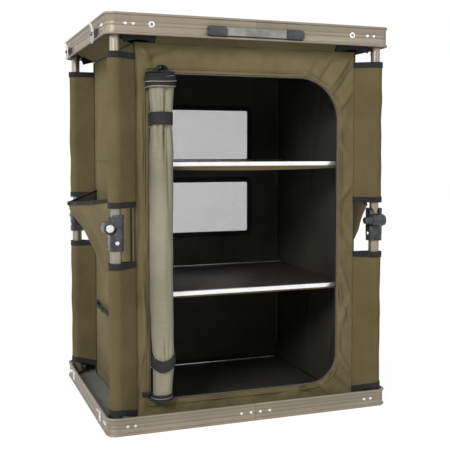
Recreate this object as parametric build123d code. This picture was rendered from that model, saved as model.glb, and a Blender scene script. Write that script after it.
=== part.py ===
from build123d import *
import math
import os

os.makedirs("parts", exist_ok=True)

# Folding camping cupboard. Millimetres, +Z up, origin on the ground under the plan centre.
# The front, with the door opening, faces -Y. All four posts fold in the middle.

# Overall size
WIDTH = 600.0
DEPTH = 475.0
HEIGHT = 795.0

# Rails: one profile, bent round the corners and butted at the front centre
CORNER_R = 20.0
CORNER_STEPS = 5
BASE_RAIL_H = 35.0
TOP_RAIL_H = 41.0
BEAD_OUT = 2.5
BEAD_H = 5.0
BEAD_CHAMFER = 1.3
WEB_T = 2.0
LIP_T = 2.0
BOTTOM_LIP_IN = 14.0
BOARD_LIP_IN = 11.0
BOARD_LIP_T = 1.5
GROOVE_H = 1.4
GROOVE_DEEP = 0.5
GROOVE_PITCH = 7.0
GROOVE_COUNT = 2
SEAM_GAP = 0.4
JOIN_PLATE_L = 76.0
JOIN_PLATE_T = 1.5

# Boards held in the rails' slots
BOARD_T = 4.0
SLOT_CLEAR = 0.1
BOARD_CLEAR = 0.3

# Clearances
FIT = 0.05
RUN_CLEAR = 0.06
PIECE_CLEAR = 0.1
CLOTH_CLEAR = 0.3

# Round pieces that repeat are prisms of this many sides
TUBE_SIDES = 20
EYE_SIDES = 16
PIN_SIDES = 12
RIVET_SIDES = 8

# Posts
POST_INSET = 23.0
LOWER_TUBE_D = 22.0
UPPER_TUBE_D = 19.0
TUBE_WALL = 1.2
TUBE_TAIL = 9.0
BASE_PIVOT_Z = 21.0
TOP_PIVOT_DROP = 28.0
PIVOT_PIN_D = 6.0
PIN_HEAD_T = 1.0
PIN_HEAD_D = 10.0

# Knuckles: pivot beside the tubes, so that the posts fold flat on each other
KNUCKLE_OFFSET = 13.8
EYE_R = 12.0
EYE_CLEAR = 0.5
EYE_HALF = 8.0
SIDE_CLEAR = 0.3
EAR_OUT = 15.0
SOCKET_X = 26.4
SOCKET_CHAMFER = 5.0
SOCKET_LOW = 43.5
SOCKET_HIGH = 25.0
PARTING = 0.15
TUBE_STOP = 14.0
HORN_SLOT = 14.0
HORN_CUT = 7.0
KNUCKLE_PIN_D = 8.0
CAP_D = 16.0
CAP_T = 2.2
BOSS_D = 20.0
BOSS_L = 15.5
BOSS_TAPER = 12.0
SOCKET_RIVET_D = 9.0
SOCKET_RIVET_T = 1.8
SOCKET_RIVET_DROP = 28.0
RIB_DEEP = 0.6
RIB_H = 2.0
RIB_COUNT = 3
RIB_DROP = 32.0

# Corner brackets
FLANGE_T = 3.0
FLANGE_LEG = 64.5
EAR_T = 5.0
EAR_GAP_CLEAR = 0.5
EAR_R = 12.0

# Rivets and eyelets
RIVET_D = 7.0
RIVET_T = 1.3
RIVET_TAPER = 35.0
FRONT_RIVETS = (39.0, 54.0)
SIDE_RIVETS = (34.0, 46.0)
SEAM_RIVETS = (10.0, 30.5)
EYELET_INSET = 89.0
EYELET_OUT_D = 13.0
EYELET_IN_D = 6.5

# Handle on the front of the top rail
HANDLE_L = 203.0
HANDLE_DROP = 6.5
HANDLE_END_L = 40.0
HANDLE_H = 21.0
HANDLE_END_T = 8.5
HANDLE_END_CHAMFER = 4.0
HANDLE_END_TAPER = 12.0
STRAP_H = 15.0
STRAP_T = 3.0
STRAP_OFF = 2.4
GRIP_RIB_COUNT = 12
GRIP_RIB_PITCH = 4.6
GRIP_RIB_W = 2.2
GRIP_RIB_T = 1.4
STRAP_IN_END = 32.0

# Toggle latches on the two ends
LATCH_INSET = 85.0
LATCH_BASE_W = 16.0
LATCH_BASE_H = 16.5
LATCH_BASE_OUT = 4.0
LATCH_BASE_UP = 2.6
CHEEK_T = 2.5
CHEEK_R = 3.4
LATCH_PIVOT_OUT = 6.6
LATCH_PIVOT_UP = 10.5
LATCH_PIN_D = 2.4
LEVER_W = 10.4
LEVER_T = 2.6
LEVER_L = 19.0
LEVER_TAB_OUT = 5.0
BAIL_UP = 8.0
BAIL_WIRE_D = 1.8
BAIL_W = 19.4
BAIL_L = 26.0
BAIL_CORNER = 3.0
BAIL_SIDES = 6
BAIL_BOSS_R = 2.3
CATCH_W = 16.0
CATCH_LOW_Z = 7.0
CATCH_T = 1.2
CATCH_OUT = 4.0

# Cloth cabinet
CLOTH_T = 1.5
BODY_SIDE_INSET = 63.0
BODY_FRONT_INSET = 37.5
CEILING_DROP = 8.0
OPENING_LEFT_EDGE = 28.0
OPENING_RIGHT_EDGE = 38.0
OPENING_TOP_EDGE = 56.0
OPENING_BOTTOM_EDGE = 43.7
OPENING_TOP_R = 88.0
OPENING_BOTTOM_R = 62.0
OPENING_STEPS = 8
ZIP_W = 9.0
ZIP_T = 1.2
WINDOW_SIDE_EDGE = 85.0
WINDOW_ABOVE_UPPER_SHELF = 6.0
WINDOW_BELOW_CEILING = 113.0
WINDOW_ABOVE_LOWER_SHELF = 79.0
WINDOW_BELOW_UPPER_SHELF = 58.0
WINDOW_CHAMFER = 5.0

# Rolled door, wound as one spiral
ROLL_CORE_R = 3.0
ROLL_STEP = 3.3
ROLL_TURNS = 5.5
ROLL_POINTS = 12
ROLL_CLOTH_T = 2.2
ROLL_BEFORE_PANEL = 10.5
ROLL_END_CLEAR = 0.8
TIE_T = 1.5
TIE_H = 24.0
TIE_FROM_TOP = 94.0
TIE_FROM_BOTTOM = 67.0

# Post sleeves
SLEEVE_R = 13.9
SLEEVE_T = 1.2
SLEEVE_TIP_R = 1.6
SLEEVE_STEPS = 8
SEAM_BACK = 0.35
SLEEVE_ABOVE_KNUCKLE = 37.0
SLEEVE_BELOW_KNUCKLE = 67.0
SLEEVE_BELOW_RAIL = 30.0
SLEEVE_ABOVE_RAIL = 2.0
BINDING_H = 10.0
BINDING_EXTRA = 0.9

# Side pockets
POCKET_END_EDGE = 12.0
UPPER_POCKET_H = 143.0
UPPER_POCKET_ABOVE_KNUCKLE = 21.0
UPPER_POCKET_OUT = 62.0
LOWER_POCKET_H = 144.0
LOWER_POCKET_ABOVE_RAIL = 1.0
LOWER_POCKET_OUT = 16.0
POCKET_FOOT = 3.0

# Hanging straps between cloth and top rail
HANG_EDGES = (8.0, 25.0)
HANG_W = 30.0
HANG_T = 1.6

# Shelves
LOWER_SHELF_UP = 251.7
SHELF_PITCH = 258.0
SHELF_T = 6.0
SHELF_FOLD_CLEAR = 2.0
TRIM_T = 1.0
TRIM_IN = 9.0

# Sizes that follow from the ones above
HALF_W = WIDTH / 2
HALF_D = DEPTH / 2
WEB_IN = BEAD_OUT + WEB_T
BOARD_LIP_Z = LIP_T + BOARD_T + 2 * SLOT_CLEAR
CLEAR_OF_LIPS = BOARD_LIP_Z + BOARD_LIP_T + PIECE_CLEAR
TOP_RAIL_Z = HEIGHT - TOP_RAIL_H
TOP_RAIL_MID = HEIGHT - TOP_RAIL_H / 2
TOP_PIVOT_Z = HEIGHT - TOP_PIVOT_DROP
KNUCKLE_Z = (BASE_PIVOT_Z + TOP_PIVOT_Z) / 2
POST_X = HALF_W - POST_INSET
POST_Y = HALF_D - POST_INSET
KNUCKLE_REACH = EAR_OUT + BOSS_L
BODY_X = HALF_W - BODY_SIDE_INSET
BODY_Y = HALF_D - BODY_FRONT_INSET
CLOTH_LOW = LIP_T + BOARD_T + CLOTH_CLEAR
CEILING_Z = TOP_RAIL_Z - CEILING_DROP
OPENING_LEFT = -BODY_X + OPENING_LEFT_EDGE
OPENING_RIGHT = BODY_X - OPENING_RIGHT_EDGE
OPENING_TOP = CEILING_Z - OPENING_TOP_EDGE
OPENING_BOTTOM = CLOTH_LOW + OPENING_BOTTOM_EDGE
LOWER_SHELF_Z = CLOTH_LOW + LOWER_SHELF_UP
UPPER_SHELF_Z = LOWER_SHELF_Z + SHELF_PITCH
UPPER_WINDOW_Z = (UPPER_SHELF_Z + WINDOW_ABOVE_UPPER_SHELF, CEILING_Z - WINDOW_BELOW_CEILING)
LOWER_WINDOW_Z = (LOWER_SHELF_Z + WINDOW_ABOVE_LOWER_SHELF, UPPER_SHELF_Z - WINDOW_BELOW_UPPER_SHELF)
ROLL_OUT_R = ROLL_CORE_R + ROLL_STEP * ROLL_TURNS + ROLL_CLOTH_T / 2
ROLL_X = OPENING_LEFT + ROLL_OUT_R + 2 * CLOTH_CLEAR + TIE_T
ROLL_Y = -BODY_Y - ROLL_BEFORE_PANEL
ROLL_LOW_Z = OPENING_BOTTOM + ROLL_END_CLEAR
ROLL_HIGH_Z = OPENING_TOP - ROLL_END_CLEAR
TIE_Z = (ROLL_HIGH_Z - TIE_FROM_TOP, ROLL_LOW_Z + TIE_FROM_BOTTOM)
UPPER_SLEEVE_Z = (KNUCKLE_Z + SLEEVE_ABOVE_KNUCKLE, TOP_RAIL_Z - SLEEVE_BELOW_RAIL)
LOWER_SLEEVE_Z = (BASE_RAIL_H + SLEEVE_ABOVE_RAIL, KNUCKLE_Z - SLEEVE_BELOW_KNUCKLE)
POCKET_HALF_Y = POST_Y - KNUCKLE_REACH - POCKET_END_EDGE
UPPER_POCKET_Z = KNUCKLE_Z + UPPER_POCKET_ABOVE_KNUCKLE - UPPER_POCKET_H
LOWER_POCKET_Z = BASE_RAIL_H + LOWER_POCKET_ABOVE_RAIL
SHELF_HALF_Y = POST_Y - KNUCKLE_REACH - SHELF_FOLD_CLEAR
INSIDE_X = BODY_X - CLOTH_T - CLOTH_CLEAR
INSIDE_Y = BODY_Y - CLOTH_T - CLOTH_CLEAR
LATCH_Z = TOP_RAIL_Z + LATCH_PIVOT_UP
CORNERS = [
    ("fl", -POST_X, -POST_Y, 0),
    ("fr", POST_X, -POST_Y, 90),
    ("br", POST_X, POST_Y, 180),
    ("bl", -POST_X, POST_Y, 270),
]


def save(name, shape):
    """Write one node as its own STEP file."""
    solids = shape.solids()
    shape = solids[0] if len(solids) == 1 else Compound(children=list(solids))
    shape.label = name
    export_step(shape, f"parts/{name}.step")


def group(shapes):
    """Several separate solids that share one node."""
    return Compound(children=[solid for shape in shapes for solid in shape.solids()])


def block(x0, x1, y0, y1, z0, z1):
    """A box between two corners, for webs, plates and cuts."""
    size = (x1 - x0, y1 - y0, z1 - z0)
    return Pos((x0 + x1) / 2, (y0 + y1) / 2, (z0 + z1) / 2) * Box(*size)


def polygon(points):
    return make_face(Polyline(*points, close=True))


def rod(radius, start, end, sides=PIN_SIDES, taper=0):
    """A round bar along Y between two Y values, its corners on the radius."""
    outline = Plane.XZ * RegularPolygon(radius, sides)
    return Pos(0, end, 0) * extrude(outline, end - start, taper=taper)


def bore(radius, start, end, sides=PIN_SIDES):
    """The cut for a hole along Y, its flats on the radius, so that a rod of it turns inside."""
    outline = Plane.XZ * RegularPolygon(radius, sides, major_radius=False)
    return Pos(0, end, 0) * extrude(outline, end - start)


def outwards(side, near, far):
    """The lower and higher Y of a span that runs outwards on one side of the post."""
    return sorted((side * near, side * far))


def corner_points(inset):
    """The faceted outer corner of the frame, moved inwards, about a front-left post's axis."""
    half_step = math.pi / 4 / CORNER_STEPS
    centre = CORNER_R - POST_INSET
    points = []
    for step in range(CORNER_STEPS + 1):
        angle = math.pi + 2 * half_step * step
        lean = {0: half_step / 2, CORNER_STEPS: -half_step / 2}.get(step, 0)
        back = inset / math.cos(abs(lean) or half_step)
        x = centre + CORNER_R * math.cos(angle) - back * math.cos(angle + lean)
        y = centre + CORNER_R * math.sin(angle) - back * math.sin(angle + lean)
        points.append((x, y))
    return points


def frame_points(inset):
    """The frame's rounded plan, moved inwards, starting at the front-left corner."""
    points = []
    for name, x, y, turn in CORNERS:
        c, s = round(math.cos(math.radians(turn))), round(math.sin(math.radians(turn)))
        points += [(x + c * px - s * py, y + s * px + c * py) for px, py in corner_points(inset)]
    return points


def rail_profile(height):
    """Rail section, inward distance by height: web, beads, bottom lip, board lip, grooves."""

    def bead(low):
        high = low + BEAD_H
        return [
            (BEAD_OUT, low),
            (BEAD_CHAMFER, low),
            (0, low + BEAD_CHAMFER),
            (0, high - BEAD_CHAMFER),
            (BEAD_CHAMFER, high),
            (BEAD_OUT, high),
        ]

    outline = bead(0)[1:]
    for row in range(GROOVE_COUNT):
        middle = height / 2 + (row - (GROOVE_COUNT - 1) / 2) * GROOVE_PITCH
        low, high, deep = middle - GROOVE_H / 2, middle + GROOVE_H / 2, BEAD_OUT + GROOVE_DEEP
        outline += [(BEAD_OUT, low), (deep, low), (deep, high), (BEAD_OUT, high)]
    outline += bead(height - BEAD_H)[:-1]
    outline += [(WEB_IN, height), (WEB_IN, BOARD_LIP_Z + BOARD_LIP_T)]
    outline += [(BOARD_LIP_IN, BOARD_LIP_Z + BOARD_LIP_T), (BOARD_LIP_IN, BOARD_LIP_Z)]
    outline += [(WEB_IN, BOARD_LIP_Z), (WEB_IN, LIP_T), (BOTTOM_LIP_IN, LIP_T), (BOTTOM_LIP_IN, 0)]
    return polygon(outline)


def rail(height):
    """The profile swept once round the frame, from the front seam back to it."""
    points = frame_points(0)
    first = CORNER_STEPS + 1
    points = points[first:] + points[:first]
    route = Polyline((SEAM_GAP / 2, -HALF_D), *points, (-SEAM_GAP / 2, -HALF_D))
    start = Plane(origin=(SEAM_GAP / 2, -HALF_D, 0), x_dir=(0, 1, 0), z_dir=(1, 0, 0))
    return sweep(start * rail_profile(height), path=route, transition=Transition.RIGHT)


def top_side(shape):
    """Turn a piece made for the ground side over, so that it hangs from the table's top."""
    return Pos(0, 0, HEIGHT) * mirror(shape, about=Plane.XY)


def board():
    """The sheet that slides in the rail's slot."""
    return Pos(0, 0, LIP_T) * extrude(polygon(frame_points(WEB_IN + BOARD_CLEAR)), BOARD_T)


def at_corner(shape, corner):
    """Place a piece made about a post's axis in front-left orientation."""
    name, x, y, turn = corner
    return Pos(x, y, 0) * Rot(0, 0, turn) * shape


def bracket(tube_d, pivot_z, rail_h):
    """Moulded corner bracket: an L flange against the rail and a clevis for the post."""
    web = WEB_IN + PIECE_CLEAR
    leg = FLANGE_LEG - POST_INSET
    high = rail_h - LIP_T
    outer = [(web - POST_INSET, leg), *corner_points(web), (leg, web - POST_INSET)]
    inner = web + FLANGE_T
    inner_side = [(inner - POST_INSET, leg), *corner_points(inner), (leg, inner - POST_INSET)]
    flange = extrude(polygon(outer + inner_side[::-1]), high - CLEAR_OF_LIPS)
    inside_rail = extrude(polygon(outer + [(leg, leg)]), high - CLEAR_OF_LIPS)
    half = tube_d / 2 + EAR_GAP_CLEAR
    lift = Pos(0, 0, pivot_z - CLEAR_OF_LIPS)
    shape = flange
    for side in (-1, 1):
        y0, y1 = outwards(side, half, half + EAR_T)
        ear = block(web - POST_INSET, 0, y0, y1, 0, pivot_z + EAR_R - CLEAR_OF_LIPS)
        ear += lift * rod(EAR_R, y0, y1, EYE_SIDES)
        shape += ear & inside_rail
    reach = half + EAR_T
    hole = bore(PIVOT_PIN_D / 2 + FIT, -reach, reach)
    sink = bore(PIN_HEAD_D / 2 + FIT, -POST_INSET, -reach)
    return Pos(0, 0, CLEAR_OF_LIPS) * (shape - lift * (hole + sink))


def pivot_pin(tube_d, pivot_z):
    """Headed pin through the bracket's two ears and the tube."""
    reach = tube_d / 2 + EAR_GAP_CLEAR + EAR_T
    pin = rod(PIVOT_PIN_D / 2, -reach, reach)
    for side in (-1, 1):
        y0, y1 = outwards(side, reach, reach + PIN_HEAD_T)
        pin += rod(PIN_HEAD_D / 2, y0, y1)
    return Pos(0, 0, pivot_z) * pin


def tube(diameter, pivot_z, far_z):
    """Post tube with a cross hole at its pivot end."""
    tail = pivot_z - math.copysign(TUBE_TAIL, far_z - pivot_z)
    low, high = sorted((tail, far_z))
    wall = RegularPolygon(diameter / 2, TUBE_SIDES) - RegularPolygon(diameter / 2 - TUBE_WALL, TUBE_SIDES)
    shape = Pos(0, 0, low) * extrude(wall, high - low)
    return shape - Pos(0, 0, pivot_z) * bore(PIVOT_PIN_D / 2 + RUN_CLEAR, -diameter, diameter)


def grip(low, high, shrink=0):
    """The moulded grip round a tube, longer along the pivot than across it."""
    x, y, c = SOCKET_X / 2 - shrink, EAR_OUT - shrink, SOCKET_CHAMFER
    quarter = [(x, y - c), (x - c, y)]
    half = quarter + [(-px, py) for px, py in quarter[::-1]]
    return Pos(0, 0, low) * extrude(polygon(half + [(-px, -py) for px, py in half]), high - low)


def tube_bore(diameter, low, high):
    """Seat of a tube in its grip."""
    outline = RegularPolygon(diameter / 2 + FIT, TUBE_SIDES)
    return Pos(0, 0, low) * extrude(outline, high - low)


def at_pivot(shape):
    return Pos(-KNUCKLE_OFFSET, 0, KNUCKLE_Z) * shape


def lower_socket():
    """Lower knuckle half: ribbed grip, one central eye, notches for the other's ears."""
    top = KNUCKLE_Z - PARTING
    shape = grip(KNUCKLE_Z - SOCKET_LOW, top)
    for side in (-1, 1):
        y0, y1 = outwards(side, EYE_HALF, 2 * EAR_OUT)
        shape -= at_pivot(bore(EYE_R + EYE_CLEAR, y0, y1, EYE_SIDES))
    web = block(-KNUCKLE_OFFSET, 0, -EYE_HALF, EYE_HALF, KNUCKLE_Z - EYE_R, top)
    eye = at_pivot(rod(EYE_R, -EYE_HALF, EYE_HALF, EYE_SIDES))
    shape += web + (eye - block(-KNUCKLE_OFFSET, EYE_R, -EAR_OUT, EAR_OUT, top, KNUCKLE_Z + 2 * EYE_R))
    shape -= tube_bore(LOWER_TUBE_D, KNUCKLE_Z - 2 * SOCKET_LOW, KNUCKLE_Z - TUBE_STOP + FIT)
    for row in range(RIB_COUNT):
        z = KNUCKLE_Z - RIB_DROP - 2 * row * RIB_H
        shape -= grip(z - RIB_H, z) - grip(z - RIB_H, z, RIB_DEEP)
    return shape - at_pivot(bore(KNUCKLE_PIN_D / 2 + FIT, -EYE_HALF, EYE_HALF))


def upper_socket():
    """Upper knuckle half: two ears, two horns beside the tube, and a round boss inwards."""
    bottom, high = KNUCKLE_Z + PARTING, KNUCKLE_Z + SOCKET_HIGH
    gap = EYE_HALF + SIDE_CLEAR
    shape = grip(bottom, high) - at_pivot(bore(EYE_R + EYE_CLEAR, -gap, gap, EYE_SIDES))
    for side in (-1, 1):
        y0, y1 = outwards(side, gap, EAR_OUT)
        web = block(-KNUCKLE_OFFSET, 0, y0, y1, bottom, KNUCKLE_Z + EYE_R)
        ear = at_pivot(rod(EYE_R, y0, y1, EYE_SIDES))
        below = block(-KNUCKLE_OFFSET, EYE_R, y0, y1, KNUCKLE_Z - 2 * EYE_R, bottom)
        shape += web + (ear - below)
    slot_low = KNUCKLE_Z + TUBE_STOP
    shape -= tube_bore(UPPER_TUBE_D, slot_low - FIT, high)
    shape -= block(-SOCKET_X, 0, -HORN_SLOT / 2, HORN_SLOT / 2, slot_low, high)
    wedge = [(-SOCKET_X, high), (HORN_CUT - SOCKET_X / 2, high), (-SOCKET_X, slot_low - HORN_CUT)]
    shape -= extrude(Plane.XZ * polygon(wedge), 2 * EAR_OUT, both=True)
    boss = Pos(0, EAR_OUT, 0) * Rot(0, 0, 180) * extrude(
        Plane.XZ * RegularPolygon(BOSS_D / 2, EYE_SIDES), BOSS_L, taper=BOSS_TAPER
    )
    shape += at_pivot(boss)
    return shape - at_pivot(bore(KNUCKLE_PIN_D / 2 + RUN_CLEAR, -EAR_OUT, EAR_OUT))


def knuckle_pins():
    """The capped pivot pin, and the rivet heads that hold the lower grip on its tube."""
    pin = rod(KNUCKLE_PIN_D / 2, -EAR_OUT - SIDE_CLEAR, EAR_OUT - SIDE_CLEAR)
    cap = Pos(0, -EAR_OUT - SIDE_CLEAR, 0) * extrude(
        Plane.XZ * RegularPolygon(CAP_D / 2, EYE_SIDES), CAP_T - SIDE_CLEAR, taper=RIVET_TAPER
    )
    head = extrude(Plane.XZ * RegularPolygon(SOCKET_RIVET_D / 2, PIN_SIDES), SOCKET_RIVET_T, taper=RIVET_TAPER)
    z = KNUCKLE_Z - SOCKET_RIVET_DROP
    front = Pos(0, -EAR_OUT, z) * head
    back = Pos(0, EAR_OUT, z) * Rot(0, 0, 180) * head
    return group([at_pivot(pin + cap), front, back])


def rivet_head():
    """A low rivet head on the local XZ plane, standing out along -Y."""
    return extrude(Plane.XZ * RegularPolygon(RIVET_D / 2, RIVET_SIDES), RIVET_T, taper=RIVET_TAPER)


def on_wall(shape, face, along, z):
    """Put a piece made for the front wall on one of the four walls, at its web's face."""
    out_x, out_y = HALF_W - BEAD_OUT, HALF_D - BEAD_OUT
    places = {
        "front": (along, -out_y, 0),
        "right": (out_x, along, 90),
        "back": (-along, out_y, 180),
        "left": (-out_x, -along, 270),
    }
    x, y, turn = places[face]
    return Pos(x, y, z) * Rot(0, 0, turn) * shape


def corner_rivets(z):
    """Pairs of rivet heads near the corners of all four walls."""
    heads = []
    for side in (-1, 1):
        for inset in FRONT_RIVETS:
            heads += [on_wall(rivet_head(), wall, side * (HALF_W - inset), z) for wall in ("front", "back")]
        for inset in SIDE_RIVETS:
            heads += [on_wall(rivet_head(), wall, side * (HALF_D - inset), z) for wall in ("left", "right")]
    return heads


def seam_rivets(z):
    return [on_wall(rivet_head(), "front", side * x, z) for side in (-1, 1) for x in SEAM_RIVETS]


def join_plate(rail_h):
    """Flat plate behind the rail's front seam, made for the ground side."""
    face = -HALF_D + WEB_IN
    half = JOIN_PLATE_L / 2
    return block(-half, half, face, face + JOIN_PLATE_T, CLEAR_OF_LIPS, rail_h - LIP_T)


def eyelet():
    """Ring eyelet on the top rail's face."""
    ring = extrude(Plane.XZ * RegularPolygon(EYELET_OUT_D / 2, PIN_SIDES), RIVET_T, taper=RIVET_TAPER)
    return ring - rod(EYELET_IN_D / 2, -2 * RIVET_T, RIVET_T)


def chamfered(length, height, chamfer):
    """A rectangle with cut corners, centred."""
    x, y = length / 2, height / 2
    half = [(x, y - chamfer), (x - chamfer, y), (chamfer - x, y), (-x, y - chamfer)]
    return polygon(half + [(-px, -py) for px, py in half])


def handle_parts():
    """Two end sleeves on the rail and the ribbed strap that runs between them."""
    strap_y = -STRAP_OFF - STRAP_T
    half, pocket_h = HANDLE_L / 2, STRAP_H / 2 + CLOTH_CLEAR
    outline = Plane.XZ * chamfered(HANDLE_END_L, HANDLE_H, HANDLE_END_CHAMFER)
    sleeve = extrude(outline, HANDLE_END_T, taper=HANDLE_END_TAPER)
    mouth = half - HANDLE_END_L
    bead_top = BEAD_H + PIECE_CLEAR + HANDLE_DROP - TOP_RAIL_H / 2
    over_bead = block(-half, half, -BEAD_OUT - PIECE_CLEAR, 0, -HANDLE_H, bead_top)
    ends = []
    for side in (-1, 1):
        x0, x1 = sorted((side * (mouth - 1), side * (mouth + STRAP_IN_END)))
        pocket = block(x0, x1, strap_y - CLOTH_CLEAR, CLOTH_CLEAR - STRAP_OFF, -pocket_h, pocket_h)
        ends.append(Pos(side * (half - HANDLE_END_L / 2), 0, 0) * sleeve - pocket - over_bead)
    reach = mouth + STRAP_IN_END - CLOTH_CLEAR
    strap = block(-reach, reach, strap_y, -STRAP_OFF, -STRAP_H / 2, STRAP_H / 2)
    for number in range(GRIP_RIB_COUNT):
        x = (number - (GRIP_RIB_COUNT - 1) / 2) * GRIP_RIB_PITCH - GRIP_RIB_W / 2
        strap += block(x, x + GRIP_RIB_W, strap_y - GRIP_RIB_T, strap_y, -STRAP_H / 2, STRAP_H / 2)
    return group(ends), strap


def across(radius, width, sides=PIN_SIDES):
    """A round bar along X, centred, for a latch's pin and eyes."""
    return Rot(0, 0, 90) * rod(radius, -width / 2, width / 2, sides)


def across_bore(radius):
    return Rot(0, 0, 90) * bore(radius, -LATCH_BASE_W, LATCH_BASE_W)


def latch_base():
    """Block on the rail with two cheeks that carry the lever's pin."""
    half = LATCH_BASE_W / 2
    low = LATCH_BASE_UP - LATCH_PIVOT_UP
    bead_top = BEAD_H + PIECE_CLEAR - LATCH_PIVOT_UP
    shape = block(-half, half, -LATCH_BASE_OUT, BEAD_OUT, low, low + LATCH_BASE_H)
    shape -= block(-half, half, -PIECE_CLEAR, BEAD_OUT, low, bead_top)
    at_pin = Pos(0, -LATCH_PIVOT_OUT, 0)
    for side in (-1, 1):
        x0, x1 = outwards(side, half - CHEEK_T, half)
        cheek = at_pin * Pos((x0 + x1) / 2, 0, 0) * across(CHEEK_R, CHEEK_T)
        shape += block(x0, x1, -LATCH_PIVOT_OUT, 0, -CHEEK_R, CHEEK_R) + cheek
    return Pos(0, -BEAD_OUT, 0) * (shape + at_pin * across(LATCH_PIN_D / 2, LATCH_BASE_W))


def latch_lever():
    """Lever with an eye at its pin, a boss for the wire and a thumb tab bent outwards."""
    at_pin = Pos(0, -LATCH_PIVOT_OUT, 0)
    at_wire = Pos(0, -LATCH_PIVOT_OUT, BAIL_UP)
    front = -LATCH_PIVOT_OUT - LEVER_T / 2
    back, tab_low = front + LEVER_T, BAIL_UP + BAIL_BOSS_R
    points = [(front, 0), (back, 0), (back, tab_low), (back - LEVER_TAB_OUT, LEVER_L)]
    points += [(front - LEVER_TAB_OUT, LEVER_L), (front, tab_low)]
    shape = extrude(Plane.YZ * polygon(points), LEVER_W / 2, both=True)
    shape += at_pin * across(BAIL_BOSS_R, LEVER_W) + at_wire * across(BAIL_BOSS_R, LEVER_W)
    shape -= at_pin * across_bore(LATCH_PIN_D / 2 + RUN_CLEAR)
    shape -= at_wire * across_bore(BAIL_WIRE_D / 2 + RUN_CLEAR)
    return Pos(0, -BEAD_OUT, 0) * shape


def latch_bail():
    """Closed wire loop that hangs from the lever's boss."""
    x, low, c = BAIL_W / 2, BAIL_UP - BAIL_L, BAIL_CORNER
    corners = [(0, BAIL_UP), (x - c, BAIL_UP), (x, BAIL_UP - c), (x, low + c), (x - c, low)]
    corners += [(-px, pz) for px, pz in corners[:0:-1]]
    route = Polyline(*[(px, -LATCH_PIVOT_OUT, pz) for px, pz in corners], close=True)
    start = Plane(origin=(0, -LATCH_PIVOT_OUT, BAIL_UP), x_dir=(0, 1, 0), z_dir=(1, 0, 0))
    section = start * RegularPolygon(BAIL_WIRE_D / 2, BAIL_SIDES)
    return Pos(0, -BEAD_OUT, 0) * sweep(section, path=route, transition=Transition.RIGHT)


def latch_catch():
    """Plate on the bottom rail whose top edge turns out into a hook, under the rail's bead."""
    half, top = CATCH_W / 2, BASE_RAIL_H - BEAD_H - PIECE_CLEAR
    shape = block(-half, half, -CATCH_T, 0, CATCH_LOW_Z, top)
    return shape + block(-half, half, -CATCH_OUT - BEAD_OUT, 0, top - CATCH_T, top)


def latch_places(shape, z):
    """One copy at each of the four latch positions, two on each end of the frame."""
    along = HALF_D - LATCH_INSET
    places = {"lf": ("left", along), "lb": ("left", -along), "rf": ("right", -along), "rb": ("right", along)}
    return {name: on_wall(shape, wall, y, z) for name, (wall, y) in places.items()}


def opening_outline(grow):
    """Door opening in the front cloth: square behind the rolled door, its other corners in short steps."""
    left, right = OPENING_LEFT - grow, OPENING_RIGHT + grow
    low, high = OPENING_BOTTOM - grow, OPENING_TOP + grow
    points = [(left, high), (left, low)]
    for radius, y, side, first in ((OPENING_BOTTOM_R, low, 1, 270), (OPENING_TOP_R, high, -1, 0)):
        r = radius + grow
        for step in range(OPENING_STEPS + 1):
            angle = math.radians(first + 90 * step / OPENING_STEPS)
            points.append((right - r + r * math.cos(angle), y + side * r + r * math.sin(angle)))
    return polygon(points)


def front_sheet(outline, face_y, thickness):
    """An XZ outline made a sheet, from its front face backwards."""
    return Pos(0, face_y + thickness, 0) * extrude(Plane.XZ * outline, thickness)


def panel_outline():
    height = CEILING_Z - CLOTH_LOW
    return Pos(0, CLOTH_LOW + height / 2) * Rectangle(2 * BODY_X, height)


def window_outline(span, grow):
    low, high = span
    width = 2 * (BODY_X - WINDOW_SIDE_EDGE + grow)
    return Pos(0, (low + high) / 2) * chamfered(width, high - low + 2 * grow, WINDOW_CHAMFER)


def door_roll():
    """Door cloth wound from its core outwards: the radius grows evenly with the angle."""
    count = round(ROLL_TURNS * ROLL_POINTS)
    outer, inner = [], []
    for number in range(count + 1):
        angle = 2 * math.pi * number / ROLL_POINTS
        radius = ROLL_CORE_R + ROLL_STEP * number / ROLL_POINTS
        for points, r in ((outer, radius + ROLL_CLOTH_T / 2), (inner, radius - ROLL_CLOTH_T / 2)):
            points.append((r * math.cos(angle), r * math.sin(angle)))
    return Pos(ROLL_X, ROLL_Y, ROLL_LOW_Z) * extrude(polygon(outer + inner[::-1]), ROLL_HIGH_Z - ROLL_LOW_Z)


def door_ties():
    """Two straps round the rolled door."""
    inner = ROLL_OUT_R + CLOTH_CLEAR
    outline = RegularPolygon(inner + TIE_T, TUBE_SIDES) - RegularPolygon(inner, TUBE_SIDES, major_radius=False)
    ring = extrude(outline, TIE_H)
    return group([Pos(ROLL_X, ROLL_Y, z - TIE_H / 2) * ring for z in TIE_Z])


def teardrop(big_r, tip_r, reach):
    """Outline round two circles, a big one at the origin and a small one along X."""
    lean = math.pi / 2 - math.asin((big_r - tip_r) / reach)
    swing = 2 * (math.pi - lean) / SLEEVE_STEPS
    big = [(big_r * math.cos(lean + swing * n), big_r * math.sin(lean + swing * n)) for n in range(SLEEVE_STEPS + 1)]
    tip = [(reach + tip_r * math.cos(a), tip_r * math.sin(a)) for a in (-lean, 0, lean)]
    return polygon(big + tip)


def sleeve(low, high, extra):
    """Cloth sleeve round a post, closing to the cabinet's corner seam."""
    reach = math.hypot(POST_X - BODY_X, POST_Y - BODY_Y) - SEAM_BACK - SLEEVE_TIP_R
    outer = teardrop(SLEEVE_R + extra, SLEEVE_TIP_R + extra, reach - extra)
    hollow = teardrop(SLEEVE_R - SLEEVE_T, SLEEVE_TIP_R / 4, reach - 6 * SLEEVE_T)
    return Pos(0, 0, low) * extrude(outer - hollow, high - low)


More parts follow.
